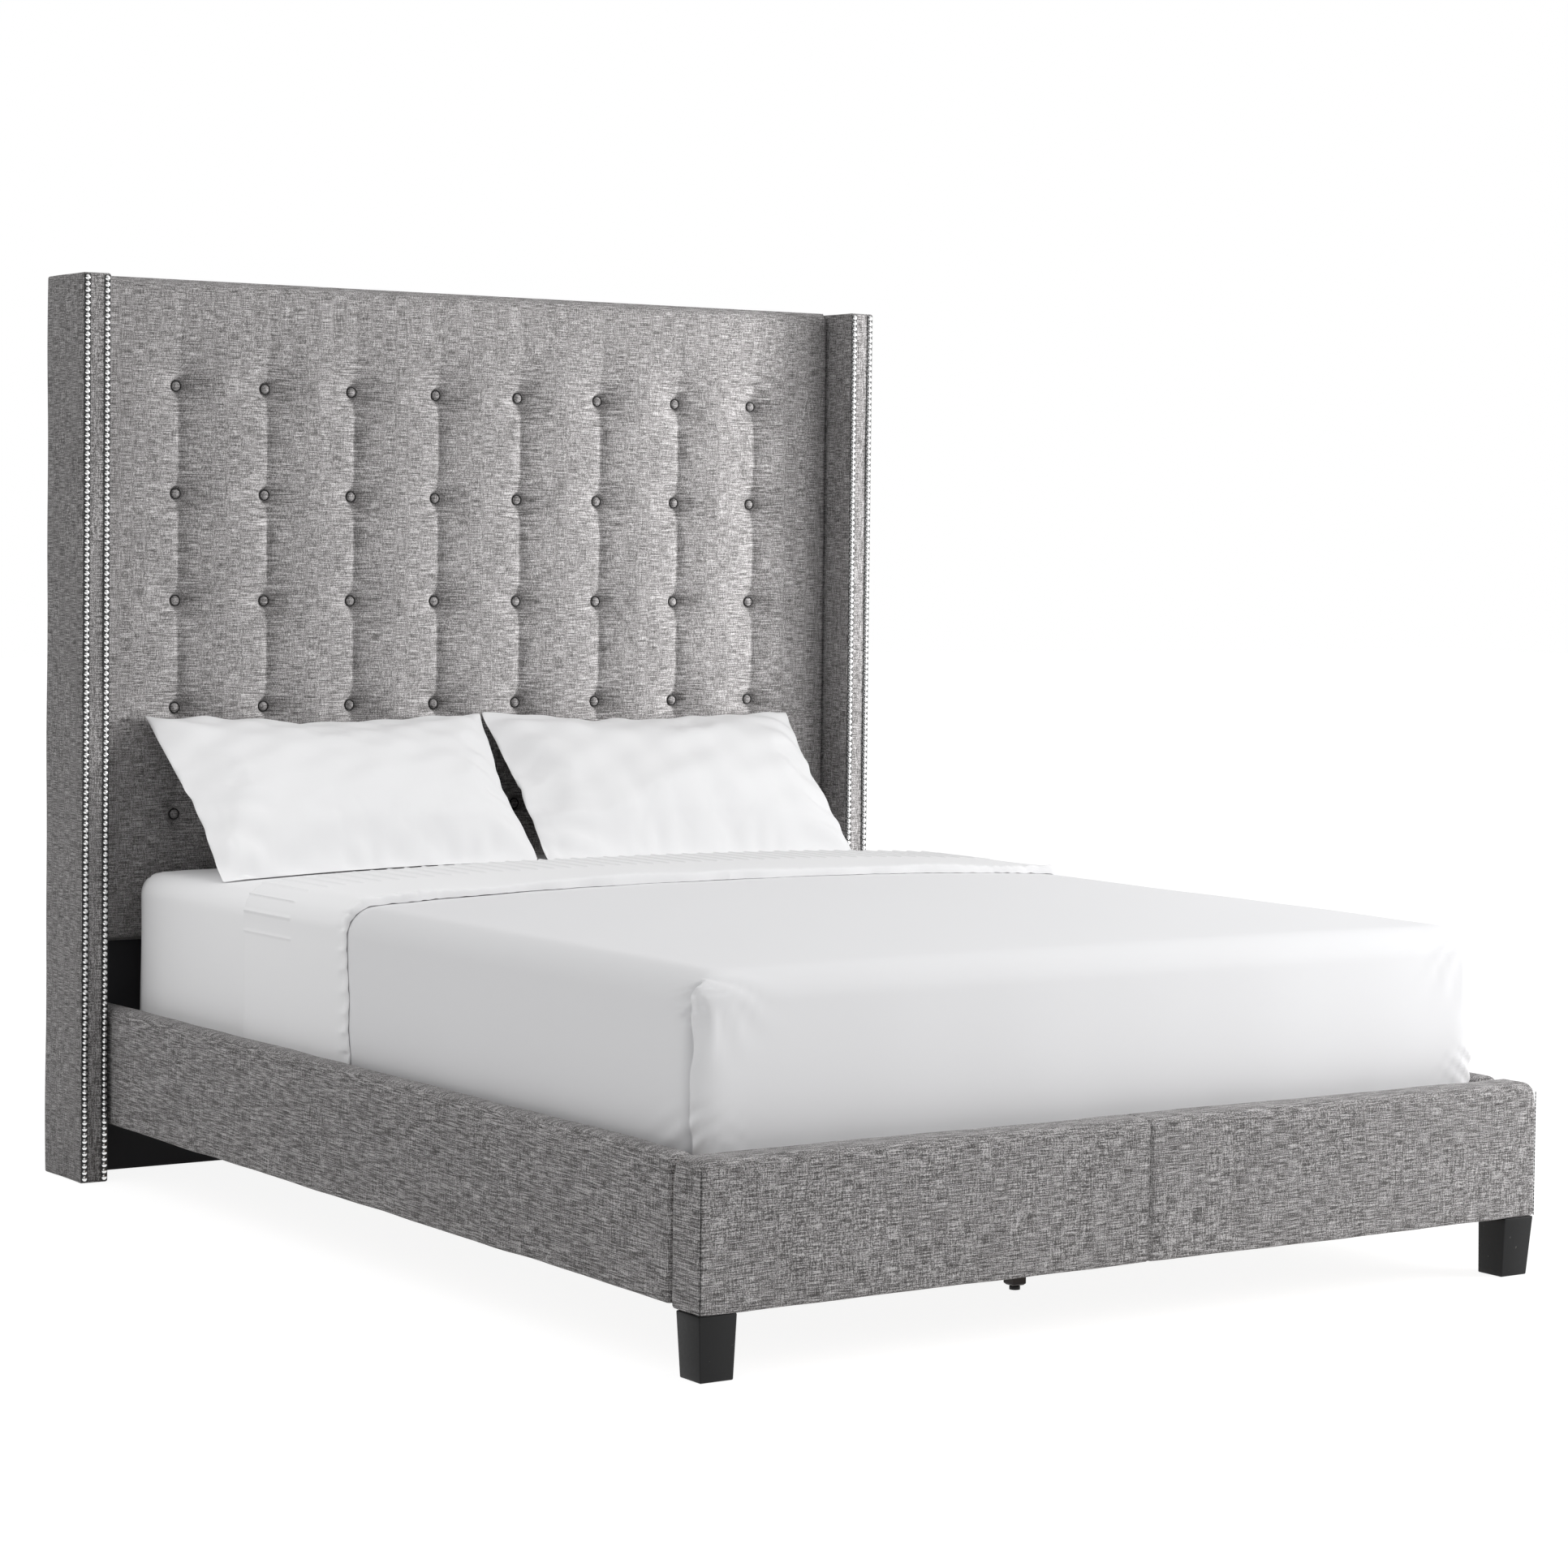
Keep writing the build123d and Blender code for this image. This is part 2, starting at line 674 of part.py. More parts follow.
# Corner brackets: steel angles in the corners under the slats, bent with a rounded heel
bracket_wall_x = rail_board_inner - seat_gap
bracket_places = (
    ("corner_bracket_foot_left", foot_back + seat_gap, 1, -1),
    ("corner_bracket_foot_right", foot_back + seat_gap, 1, 1),
    ("corner_bracket_head_left", lower_panel_front - seat_gap, -1, -1),
    ("corner_bracket_head_right", lower_panel_front - seat_gap, -1, 1),
)
for bracket_name, wall_y, inward, side in bracket_places:
    bolt_y = wall_y + inward * bracket_bolt_reach
    with BuildPart() as corner_bracket:
        with BuildSketch(Plane.XY.offset(bracket_base)):
            with BuildLine():
                Polyline(
                    (side * bracket_wall_x, wall_y),
                    (side * bracket_wall_x, wall_y + inward * bracket_flange),
                    (side * (bracket_wall_x - bracket_thickness), wall_y + inward * bracket_flange),
                    (side * (bracket_wall_x - bracket_thickness), wall_y + inward * bracket_thickness),
                    (side * (bracket_wall_x - bracket_flange), wall_y + inward * bracket_thickness),
                    (side * (bracket_wall_x - bracket_flange), wall_y),
                    close=True,
                )
            make_face()
        extrude(amount=bracket_height)
        upright_edges = corner_bracket.edges().filter_by(Axis.Z)
        heel = upright_edges.sort_by_distance((side * bracket_wall_x, wall_y, bracket_base))[0]
        fillet(heel, radius=bracket_bend)
        for height in bracket_bolt_heights:
            with BuildSketch(Plane.YZ.offset(side * (bracket_wall_x + overrun))):
                with Locations((bolt_y, height)):
                    RegularPolygon(bolt_radius + hole_clearance, bolt_sides)
            extrude(amount=-side * (bracket_thickness + 2 * overrun), mode=Mode.SUBTRACT)
            with BuildSketch(Plane.XZ.offset(-wall_y)):
                with Locations((side * bracket_bolt_x, height)):
                    RegularPolygon(bolt_radius + hole_clearance, bolt_sides)
            extrude(amount=-inward * bracket_thickness, mode=Mode.SUBTRACT)
    finish(corner_bracket.part, bracket_name)

# Bolts of the corner brackets, two through each flange
with BuildPart() as bracket_bolts:
    for bracket_name, wall_y, inward, side in bracket_places:
        bolt_y = wall_y + inward * bracket_bolt_reach
        flange_x = side * (bracket_wall_x - bracket_thickness - seat_gap)
        flange_y = wall_y + inward * (bracket_thickness + seat_gap)
        behind = lower_panel_thickness if inward < 0 else foot_back_padding
        for height in bracket_bolt_heights:
            with BuildSketch(Plane.YZ.offset(flange_x)):
                with Locations((bolt_y, height)):
                    RegularPolygon(bolt_radius, bolt_sides)
            extrude(amount=side * (bracket_thickness + 2 * seat_gap + bracket_bolt_grip))
            with BuildSketch(Plane.YZ.offset(flange_x)):
                with Locations((bolt_y, height)):
                    RegularPolygon(bolt_head_radius, bolt_head_sides)
            extrude(amount=-side * bolt_head_height)
            with BuildSketch(Plane.XZ.offset(-flange_y)):
                with Locations((side * bracket_bolt_x, height)):
                    RegularPolygon(bolt_radius, bolt_sides)
            extrude(amount=inward * (bracket_thickness + 3 * seat_gap + behind + bracket_bolt_grip))
            with BuildSketch(Plane.XZ.offset(-flange_y)):
                with Locations((side * bracket_bolt_x, height)):
                    RegularPolygon(bolt_head_radius, bolt_head_sides)
            extrude(amount=-inward * bolt_head_height)
finish(bracket_bolts.part, "bracket_bolts")

# Centre beam under the slats, hung at each end in a bent steel saddle
beam_foot_end = foot_back + seat_gap + saddle_thickness + beam_end_gap
beam_head_end = lower_panel_front - seat_gap - saddle_thickness - beam_end_gap
centre_leg_places = [
    foot_back + centre_leg_first_from_foot + centre_leg_spacing * i for i in range(len(centre_leg_names))
]
with BuildPart() as centre_beam:
    block((-beam_width / 2, beam_foot_end, beam_base), (beam_width / 2, beam_head_end, beam_top))
finish(centre_beam.part, "centre_beam")

saddle_inner = beam_width / 2 + seat_gap
saddle_outer = saddle_inner + saddle_thickness
saddle_base = beam_base - seat_gap - saddle_thickness
saddle_places = (
    ("beam_saddle_foot", foot_back + seat_gap, 1),
    ("beam_saddle_head", lower_panel_front - seat_gap, -1),
)
for saddle_name, wall_y, inward in saddle_places:
    face_y = wall_y + inward * saddle_thickness
    lip_y = wall_y + inward * saddle_length
    near_y, far_y = sorted((wall_y, lip_y))
    plate_near, plate_far = sorted((wall_y, face_y))
    with BuildPart() as beam_saddle:
        block((-saddle_outer, near_y, saddle_base), (saddle_outer, far_y, beam_top))
        block(
            (-saddle_inner - saddle_flange, plate_near, saddle_base),
            (saddle_inner + saddle_flange, plate_far, beam_top),
        )
        trough_near, trough_far = sorted((face_y, lip_y + inward * overrun))
        block_cut(
            (-saddle_inner, trough_near, beam_base - seat_gap),
            (saddle_inner, trough_far, beam_top + overrun),
        )
        for side in (-1, 1):
            with BuildSketch(Plane.XZ.offset(-plate_far)):
                with Locations((side * saddle_bolt_x, saddle_bolt_z)):
                    RegularPolygon(saddle_bolt_radius + bore_clearance, bolt_sides)
            extrude(amount=saddle_thickness, mode=Mode.SUBTRACT)
    finish(beam_saddle.part, saddle_name)

with BuildPart() as saddle_screws:
    for saddle_name, wall_y, inward in saddle_places:
        head_y = wall_y + inward * (saddle_thickness + seat_gap)
        behind = 0 if inward < 0 else foot_back_padding
        for side in (-1, 1):
            with BuildSketch(Plane.XZ.offset(-head_y)):
                with Locations((side * saddle_bolt_x, saddle_bolt_z)):
                    RegularPolygon(saddle_bolt_radius, bolt_sides)
            extrude(amount=inward * (saddle_thickness + 2 * seat_gap + behind + saddle_bolt_grip))
            with BuildSketch(Plane.XZ.offset(-head_y)):
                with Locations((side * saddle_bolt_x, saddle_bolt_z)):
                    RegularPolygon(2 * saddle_bolt_radius, bolt_sides)
            extrude(amount=-inward * saddle_bolt_radius)
finish(saddle_screws.part, "saddle_screws")

# Slats across the ledges and the beam, and the webbing stapled under them
slat_end = rail_inner - slat_end_gap
slat_first = foot_back + slat_first_from_foot + slat_width / 2
slat_last = lower_panel_front - slat_last_from_head - slat_width / 2
slat_pitch = (slat_last - slat_first) / (slat_count - 1)
with BuildPart() as bed_slats:
    for i in range(slat_count):
        slat_y = slat_first + slat_pitch * i
        block(
            (-slat_end, slat_y - slat_width / 2, slat_base),
            (slat_end, slat_y + slat_width / 2, slat_top),
        )
finish(bed_slats.part, "bed_slats")

with BuildPart() as slat_webbing:
    for side in (-1, 1):
        block(
            (
                side * webbing_half_spacing - webbing_width / 2,
                slat_first - slat_width / 2,
                slat_base - seat_gap - webbing_thickness,
            ),
            (
                side * webbing_half_spacing + webbing_width / 2,
                slat_last + slat_width / 2,
                slat_base - seat_gap,
            ),
        )
finish(slat_webbing.part, "slat_webbing")

# Centre legs, each with a screw leveller: a foot pad that turns freely on a threaded stud
leg_foot_z = pad_foot_height + seat_gap
stud_base = pad_foot_height - stud_seat_depth
for leg_name, leg_y in zip(centre_leg_names, centre_leg_places):
    half_side = centre_leg_side / 2
    with BuildPart() as centre_leg:
        block((-half_side, leg_y - half_side, leg_foot_z), (half_side, leg_y + half_side, centre_leg_top))
        chamfer(centre_leg.faces().sort_by(Axis.Z)[0].edges(), length=centre_leg_chamfer)
        with BuildSketch(Plane.XY.offset(leg_foot_z)):
            with Locations((0, leg_y)):
                Circle(stud_radius + bore_clearance)
        extrude(amount=stud_length + overrun, mode=Mode.SUBTRACT)
    finish(centre_leg.part, "centre_leg_" + leg_name)
    with BuildPart() as leveller_pad:
        with BuildSketch(Plane.XY):
            with Locations((0, leg_y)):
                RegularPolygon(pad_foot_radius, pad_foot_sides)
        extrude(amount=pad_foot_height)
        chamfer(leveller_pad.faces().sort_by(Axis.Z)[-1].edges(), length=pad_foot_edge)
        with BuildSketch(Plane.XY.offset(pad_foot_height)):
            with Locations((0, leg_y)):
                Circle(stud_radius + bore_clearance)
        extrude(amount=-(stud_seat_depth + seat_gap), mode=Mode.SUBTRACT)
    finish(leveller_pad.part, "leveller_pad_" + leg_name)
    with BuildPart() as leveller_stud:
        with BuildSketch(Plane.XY.offset(stud_base)):
            with Locations((0, leg_y)):
                Circle(stud_radius)
        extrude(amount=stud_length)
    finish(leveller_stud.part, "leveller_stud_" + leg_name)


# Mattress and bedding. Every layer is the mattress's form grown outwards, less the form grown to its
# inner side, so the layers lie on each other with the same gap all over.
def bedding_outline(half_width, half_length):
    """Corners of a rectangle about the middle of the mattress, with each corner turned in short chords."""
    outline = []
    for side_x, side_y in ((1, 1), (-1, 1), (-1, -1), (1, -1)):
        shares = mattress_corner_shares if side_x * side_y > 0 else tuple(reversed(mattress_corner_shares))
        for share in shares:
            turn = pi / 2 * share
            outline.append(
                (
                    side_x * (half_width - mattress_corner_radius * (1 - cos(turn))),
                    mattress_middle + side_y * (half_length - mattress_corner_radius * (1 - sin(turn))),
                )
            )
    return outline


def bedding_form(side_growth, top_growth):
    """Block with the mattress's rounded corners and crowned top, grown at the sides and the top.

    The bands of the loft are flat, so each is remade as a plane face.
    """
    half_width = mattress_width / 2
    half_length = mattress_length / 2
    edge_z = mattress_edge_z + top_growth
    roundness = mattress_edge_radius + side_growth
    levels = [(mattress_base, -side_growth)]
    for share in mattress_rounding_shares:
        away = 1 - sqrt(1 - share * share)
        levels.append((edge_z - roundness * (1 - share), roundness * away - side_growth))
    for inset_share, rise_share in mattress_crown_shares:
        inset = mattress_edge_radius + (half_width - mattress_edge_radius) * inset_share
        levels.append((edge_z + mattress_crown * rise_share, inset))
    with BuildPart() as form:
        for level, inset in levels:
            with BuildSketch(Plane.XY.offset(level)):
                with BuildLine():
                    Polyline(*bedding_outline(half_width - inset, half_length - inset), close=True)
                make_face()
        loft(ruled=True)
    return Solid(Shell([Face(face.outer_wire()) for face in form.faces()]))


sheet_inner = bedding_form(seat_gap, seat_gap)
sheet_outer = bedding_form(bedding_at_head, bedding_at_head)
coverlet_inner = bedding_form(layer_under_coverlet, layer_under_coverlet)
coverlet_outer = bedding_form(bedding_at_foot, bedding_at_foot)
cuff_inner = bedding_form(layer_under_cuff, layer_under_cuff)
cuff_outer = bedding_form(layer_under_cuff + cuff_side_thickness, layer_under_cuff + cuff_top_thickness)
far_x = rail_outer
far_z = headboard_height

with BuildPart() as mattress:
    add(bedding_form(0, 0))
finish(mattress.part, "mattress")

with BuildPart() as fitted_sheet:
    add(sheet_outer)
    add(sheet_inner, mode=Mode.SUBTRACT)
finish(fitted_sheet.part, "fitted_sheet")

with BuildPart() as coverlet:
    add(coverlet_outer)
    add(coverlet_inner, mode=Mode.SUBTRACT)
    block_cut((-far_x, coverlet_head, 0), (far_x, wing_back, far_z))
    block_cut((-far_x, foot_front, 0), (far_x, wing_back, hem_z))
finish(coverlet.part, "coverlet")

with BuildPart() as flat_sheet:
    add(cuff_outer)
    add(cuff_inner, mode=Mode.SUBTRACT)
    block_cut((-far_x, cuff_head, 0), (far_x, wing_back, far_z))
    block_cut((-far_x, foot_front, 0), (far_x, cuff_foot, far_z))
    block_cut((-far_x, foot_front, 0), (far_x, wing_back, hem_z))
finish(flat_sheet.part, "flat_sheet")

# Pillows: a loft up through sections of the lean, cut to the sheet where the lower side rests on it
pillow_foot_y = mattress_head - pillow_foot_from_head
pillow_top_y = pad_front - pillow_top_gap
pillow_rise = sqrt(pillow_height**2 - (pillow_top_y - pillow_foot_y) ** 2)
pillow_up = Vector(0, pillow_top_y - pillow_foot_y, pillow_rise).normalized()
pillow_places = (
    ("pillow_left", -1, pillow_foot_shift_left),
    ("pillow_right", 1, pillow_foot_shift_right),
)
for pillow_name, side, foot_shift in pillow_places:
    with BuildPart() as pillow:
        for place_share, width_share, thickness_share in pillow_section_shares:
            centre = Vector(side * (pillow_width + pillow_pair_gap) / 2, pillow_foot_y, pillow_edge_z)
            centre += pillow_up * (pillow_height * place_share) + Vector(foot_shift * (1 - place_share), 0, 0)
            width = pillow_width * width_share
            depth = pillow_thickness * thickness_share
            quarter = [(width * across, depth * out) for across, out in pillow_quarter_shares]
            front = quarter + [(-x, y) for x, y in reversed(quarter[:-1])]
            back = [(-x, -y) for x, y in front]
            with BuildSketch(Plane(origin=centre, x_dir=(1, 0, 0), z_dir=pillow_up)):
                with BuildLine():
                    Polyline(*front, *back, close=True)
                make_face()
        loft(ruled=True)
        add(coverlet_inner, mode=Mode.SUBTRACT)
    finish(pillow.part, pillow_name)
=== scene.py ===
import logging
from dataclasses import dataclass, field, replace
from enum import Enum
from math import pi, radians
from typing import Iterable, Sequence

import bpy
import numpy as np
from mathutils import Matrix, Vector


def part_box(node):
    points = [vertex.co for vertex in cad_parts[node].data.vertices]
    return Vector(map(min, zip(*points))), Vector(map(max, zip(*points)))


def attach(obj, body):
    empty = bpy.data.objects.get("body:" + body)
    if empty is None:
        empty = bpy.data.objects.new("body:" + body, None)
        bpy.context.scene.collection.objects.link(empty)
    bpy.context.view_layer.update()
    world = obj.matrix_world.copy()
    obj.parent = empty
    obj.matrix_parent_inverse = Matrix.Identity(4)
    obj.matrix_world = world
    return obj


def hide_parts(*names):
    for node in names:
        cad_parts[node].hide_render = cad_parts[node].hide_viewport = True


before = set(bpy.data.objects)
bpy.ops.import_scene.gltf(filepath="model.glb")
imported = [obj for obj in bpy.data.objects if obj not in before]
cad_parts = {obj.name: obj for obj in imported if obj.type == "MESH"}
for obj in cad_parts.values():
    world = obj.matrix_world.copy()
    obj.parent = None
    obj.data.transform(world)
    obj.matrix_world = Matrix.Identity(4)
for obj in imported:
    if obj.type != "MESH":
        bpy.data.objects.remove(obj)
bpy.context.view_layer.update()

log = logging.getLogger("wingback_bed")
Points = np.ndarray
Piece = bpy.types.Object
Socket = bpy.types.NodeSocket
Place = tuple[float, float, float]
Shade = tuple[float, float, float]
Colour = tuple[float, float, float, float]
LampSetting = tuple[Place, Place, float, float]

FRAME_BODY = "bed_frame"
MATTRESS_BODY = "dressed_mattress"
# Room between a board and the cover round it.
SKIN = 0.0008
# Least distance between two edge loops, and how near vertices are merged.
LOOP_ROOM = 0.0009
MERGE = 1e-6
# How near to the border of a shape, in shares of its half size, counts as on the border.
ON_BORDER = 1e-4
# Stands for zero where something is divided by a length.
TINY = 1e-9
# Loops at a rounded end as shares of its reach, and loops beside a seam as shares of its reach.
END_LOOPS = (0.08, 0.25, 0.55, 1.0)
SEAM_LOOPS = (-1.6, -0.8, 0.0, 0.8, 1.6)
# How far down the rounding of a top blends into that of the sides, in top radii.
TOP_BLEND = 2.2
# Directions that each wavelength of a ripple has, and the sum that they seldom pass.
RIPPLE_WAYS = 4
RIPPLE_SUM = 3
# How far in from a rounded corner's square corner the middle of its arc lies, in radii.
ARC_INSET = 1 - np.sqrt(0.5)


class Part(Enum):
    """What a selection picks by its middle."""

    VERTICES = "vertices"
    EDGES = "edges"
    FACES = "faces"


class Side(Enum):
    """Side of the bed, seen from the foot, with its direction along X."""

    LEFT = -1
    RIGHT = 1

    @property
    def word(self) -> str:
        """The side's name as the nodes spell it."""
        return self.name.lower()


# Modelling by hand


def clear_selection() -> None:
    """Leaves no object selected."""
    bpy.ops.object.select_all(action="DESELECT")


def take_up(piece: Piece) -> None:
    """Makes a piece the only one selected, and the active one.

    Args:
        piece: The piece.
    """
    clear_selection()
    piece.select_set(True)
    bpy.context.view_layer.objects.active = piece


def named(name: str) -> Piece:
    """Names the piece that was just added or joined.

    Args:
        name: Its name.

    Returns:
        The piece.
    """
    piece = bpy.context.active_object
    piece.name = name
    piece.data.name = name
    return piece


def corners(node: str) -> tuple[Points, Points]:
    """The lowest and the highest corner of a CAD node."""
    low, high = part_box(node)
    return np.array(low), np.array(high)


def middles(piece: Piece, part: Part = Part.VERTICES) -> Points:
    """Reads where the vertices, edges or faces of a piece are.

    Args:
        piece: The piece to read.
        part: What to read the middles of.

    Returns:
        One row of X, Y and Z for each.
    """
    mesh = piece.data
    if part is Part.FACES:
        found = np.empty(len(mesh.polygons) * 3)
        mesh.polygons.foreach_get("center", found)
        return found.reshape(-1, 3)
    found = np.empty(len(mesh.vertices) * 3)
    mesh.vertices.foreach_get("co", found)
    found = found.reshape(-1, 3)
    if part is Part.VERTICES:
        return found
    ends = np.empty(len(mesh.edges) * 2, dtype=np.int64)
    mesh.edges.foreach_get("vertices", ends)
    return found[ends.reshape(-1, 2)].mean(axis=1)


def reshape(piece: Piece, points: Points) -> None:
    """Moves every vertex of a piece to its new place."""
    piece.data.vertices.foreach_set("co", np.ascontiguousarray(points).ravel())
    piece.data.update()


def choose(piece: Piece, part: Part, wanted: Points) -> None:
    """Selects some vertices, edges or faces of a piece and enters edit mode.

    Args:
        piece: The piece to select on.
        part: What is selected.
        wanted: True for each one that is selected.
    """
    take_up(piece)
    mesh = piece.data
    for kind in (mesh.vertices, mesh.edges, mesh.polygons):
        kind.foreach_set("select", np.zeros(len(kind), dtype=bool))
    modes = {Part.VERTICES: mesh.vertices, Part.EDGES: mesh.edges, Part.FACES: mesh.polygons}
    bpy.context.tool_settings.mesh_select_mode = tuple(part is kind for kind in modes)
    modes[part].foreach_set("select", np.ascontiguousarray(wanted, dtype=bool))
    bpy.ops.object.mode_set(mode="EDIT")


def done() -> None:
    """Leaves edit mode."""
    bpy.ops.object.mode_set(mode="OBJECT")


def block(name: str, low: Sequence[float], high: Sequence[float]) -> Piece:
    """Adds a cube and draws it out between two corners.

    Args:
        name: Name of the piece.
        low: Its lowest corner.
        high: Its highest corner.

    Returns:
        The piece.
    """
    clear_selection()
    bpy.ops.mesh.primitive_cube_add(size=1)
    piece = named(name)
    bpy.ops.object.mode_set(mode="EDIT")
    bpy.ops.transform.resize(value=[b - a for a, b in zip(low, high)])
    bpy.ops.transform.translate(value=[(a + b) / 2 for a, b in zip(low, high)])
    done()
    return piece


def add_grid(name: str, across: int, along: int, size: float = 2.0) -> Piece:
    """Adds a level grid about the origin.

    Args:
        name: Name of the piece.
        across: Faces along X.
        along: Faces along Y.
        size: Its width and its length.

    Returns:
        The piece.
    """
    clear_selection()
    bpy.ops.mesh.primitive_grid_add(x_subdivisions=across, y_subdivisions=along, size=size)
    return named(name)


def add_ball(name: str, segments: int, rings: int, radius: float) -> Piece:
    """Adds a ball about the origin.

    Args:
        name: Name of the piece.
        segments: Faces round it.
        rings: Faces from pole to pole.
        radius: Its radius.

    Returns:
        The piece.
    """
    clear_selection()
    bpy.ops.mesh.primitive_uv_sphere_add(segments=segments, ring_count=rings, radius=radius)
    return named(name)


def add_dome(name: str, segments: int, rings: int, radius: float, base: float) -> Piece:
    """Adds a ball, cuts off what lies under a level and closes it there.

    Args:
        name: Name of the piece.
        segments: Faces round the ball.
        rings: Faces from pole to pole of the ball.
        radius: Radius of the ball.
        base: The level, above the ball's middle.

    Returns:
        The piece.
    """
    piece = add_ball(name, segments, rings, radius)
    choose(piece, Part.FACES, middles(piece, Part.FACES)[:, 2] < base)
    bpy.ops.mesh.delete(type="FACE")
    bpy.ops.mesh.select_mode(type="EDGE")
    bpy.ops.mesh.select_non_manifold()
    bpy.ops.mesh.edge_face_add()
    done()
    return piece


def cut_loops(piece: Piece, axis: int, places: Iterable[float]) -> None:
    """Cuts edge loops right through a piece, square to one axis.

    Args:
        piece: The piece to cut.
        axis: 0 for X, 1 for Y and 2 for Z.
        places: Where the cuts go along that axis.
    """
    take_up(piece)
    bpy.ops.object.mode_set(mode="EDIT")
    for place in places:
        bpy.ops.mesh.select_all(action="SELECT")
        bpy.ops.mesh.bisect(
            plane_co=[place if i == axis else 0 for i in range(3)],
            plane_no=[1 if i == axis else 0 for i in range(3)],
        )
    done()


def loop_places(low: float, high: float, edge: float, step: float, also: Sequence[float] = ()) -> list[float]:
    """Places edge loops close together at both ends of a stretch and evenly between them.

    Args:
        low: Start of the stretch.
        high: End of the stretch.
        edge: How far the rounding of an end reaches in.
        step: Widest spacing between.
        also: More places, such as those of a seam.

    Returns:
        The places, in order.
    """
    ends = [edge * share for share in END_LOOPS]
    inner = np.linspace(low + edge, high - edge, max(2, round((high - low) / step)))[1:-1]
    found = [low + e for e in ends] + list(inner) + [high - e for e in ends]
    clear = [place for place in found if all(abs(place - other) > LOOP_ROOM for other in also)]
    return sorted(clear + list(also))


def apply_modifiers(piece: Piece) -> None:
    """Applies the modifiers of a piece in their order.

    Args:
        piece: The piece.
    """
    take_up(piece)
    for modifier in list(piece.modifiers):
        bpy.ops.object.modifier_apply(modifier=modifier.name)


def hollow(piece: Piece, low: Sequence[float], high: Sequence[float]) -> None:
    """Cuts the room for a board out of a padded cover.

    Args:
        piece: The cover.
        low: Lowest corner of the room.
        high: Highest corner of the room.
    """
    board = block("board_room", low, high)
    cut = piece.modifiers.new("board_room", "BOOLEAN")
    cut.operation = "DIFFERENCE"
    cut.solver = "MANIFOLD"
    cut.object = board
    apply_modifiers(piece)
    bpy.data.objects.remove(board)


def thicken(piece: Piece, thickness: float, offset: float = -1.0) -> None:
    """Gives a sheet its thickness.

    Args:
        piece: A sheet whose faces point outwards.
        thickness: Thickness of the cloth.
        offset: -1 puts the thickness behind the faces and 0 on both sides.
    """
    cloth = piece.modifiers.new("cloth", "SOLIDIFY")
    cloth.thickness = thickness
    cloth.offset = offset
    apply_modifiers(piece)


def face_outwards(piece: Piece) -> None:
    """Merges doubles and turns all faces outwards.

    Args:
        piece: The piece.
    """
    choose(piece, Part.VERTICES, np.ones(len(piece.data.vertices), dtype=bool))
    bpy.ops.mesh.remove_doubles(threshold=MERGE)
    bpy.ops.mesh.select_all(action="SELECT")
    bpy.ops.mesh.normals_make_consistent(inside=False)
    done()


def join(name: str, pieces: Sequence[Piece]) -> Piece:
    """Joins pieces into the first of them.

    Args:
        name: Name of the result.
        pieces: The pieces to join.

    Returns:
        The joined piece.
    """
    take_up(pieces[0])
    for piece in pieces:
        piece.select_set(True)
    bpy.ops.object.join()
    return named(name)


def row_of(piece: Piece, count: int, step: Sequence[float]) -> None:
    """Repeats a piece in a straight row and makes the row one mesh.

    Args:
        piece: The first of the row.
        count: How many the row has.
        step: From each to the next.
    """
    row = piece.modifiers.new("row", "ARRAY")
    row.count = count
    row.use_relative_offset = False
    row.use_constant_offset = True
    row.constant_offset_displace = step
    apply_modifiers(piece)


def rounded(points: Points, low: Points, high: Points, top_radius: float, side_radius: float) -> Points:
    """Rounds the edges and corners of a block, more so along its top.

    Args:
        points: Points on the block's faces.
        low: Lowest corner of the block.
        high: Highest corner of the block.
        top_radius: Radius of the edges at the top.
        side_radius: Radius of the other edges.

    Returns:
        The points on the rounded block.
    """
    near_top = np.clip((points[:, 2] - high[2]) / (TOP_BLEND * top_radius) + 1.0, 0, 1)
    near_top = near_top**2 * (3 - 2 * near_top)
    radius = (side_radius + (top_radius - side_radius) * near_top)[:, None]
    core = np.clip(points, low + radius, high - radius)
    away = points - core
    longest = np.abs(away).max(axis=1, keepdims=True)
    length = np.linalg.norm(away, axis=1, keepdims=True)
    return core + away * longest / np.maximum(length, TINY)


def bell(distance: Points | float, width: float) -> Points:
    """A smooth bump of height 1, with its width at about a third of the height."""
    return np.exp(-((np.asarray(distance) / width) ** 2))


def ripple(points: Points, lengths: Sequence[float], seed: int) -> Points:
    """Adds up slow waves in many directions, the same in each run.

    Args:
        points: Where the waves are read.
        lengths: Wavelengths of the waves.
        seed: Chooses the directions and phases.

    Returns:
        A value from about -1 to 1 for each point.
    """
    chance = np.random.default_rng(seed)
    total = np.zeros(len(points))
    for length in lengths:
        for _ in range(RIPPLE_WAYS):
            way = chance.normal(size=3)
            way *= 2 * pi / (length * np.linalg.norm(way))
            total += np.sin(points @ way + chance.uniform(0, 2 * pi))
    return total / (RIPPLE_SUM * np.sqrt(len(lengths)))


# Finishes


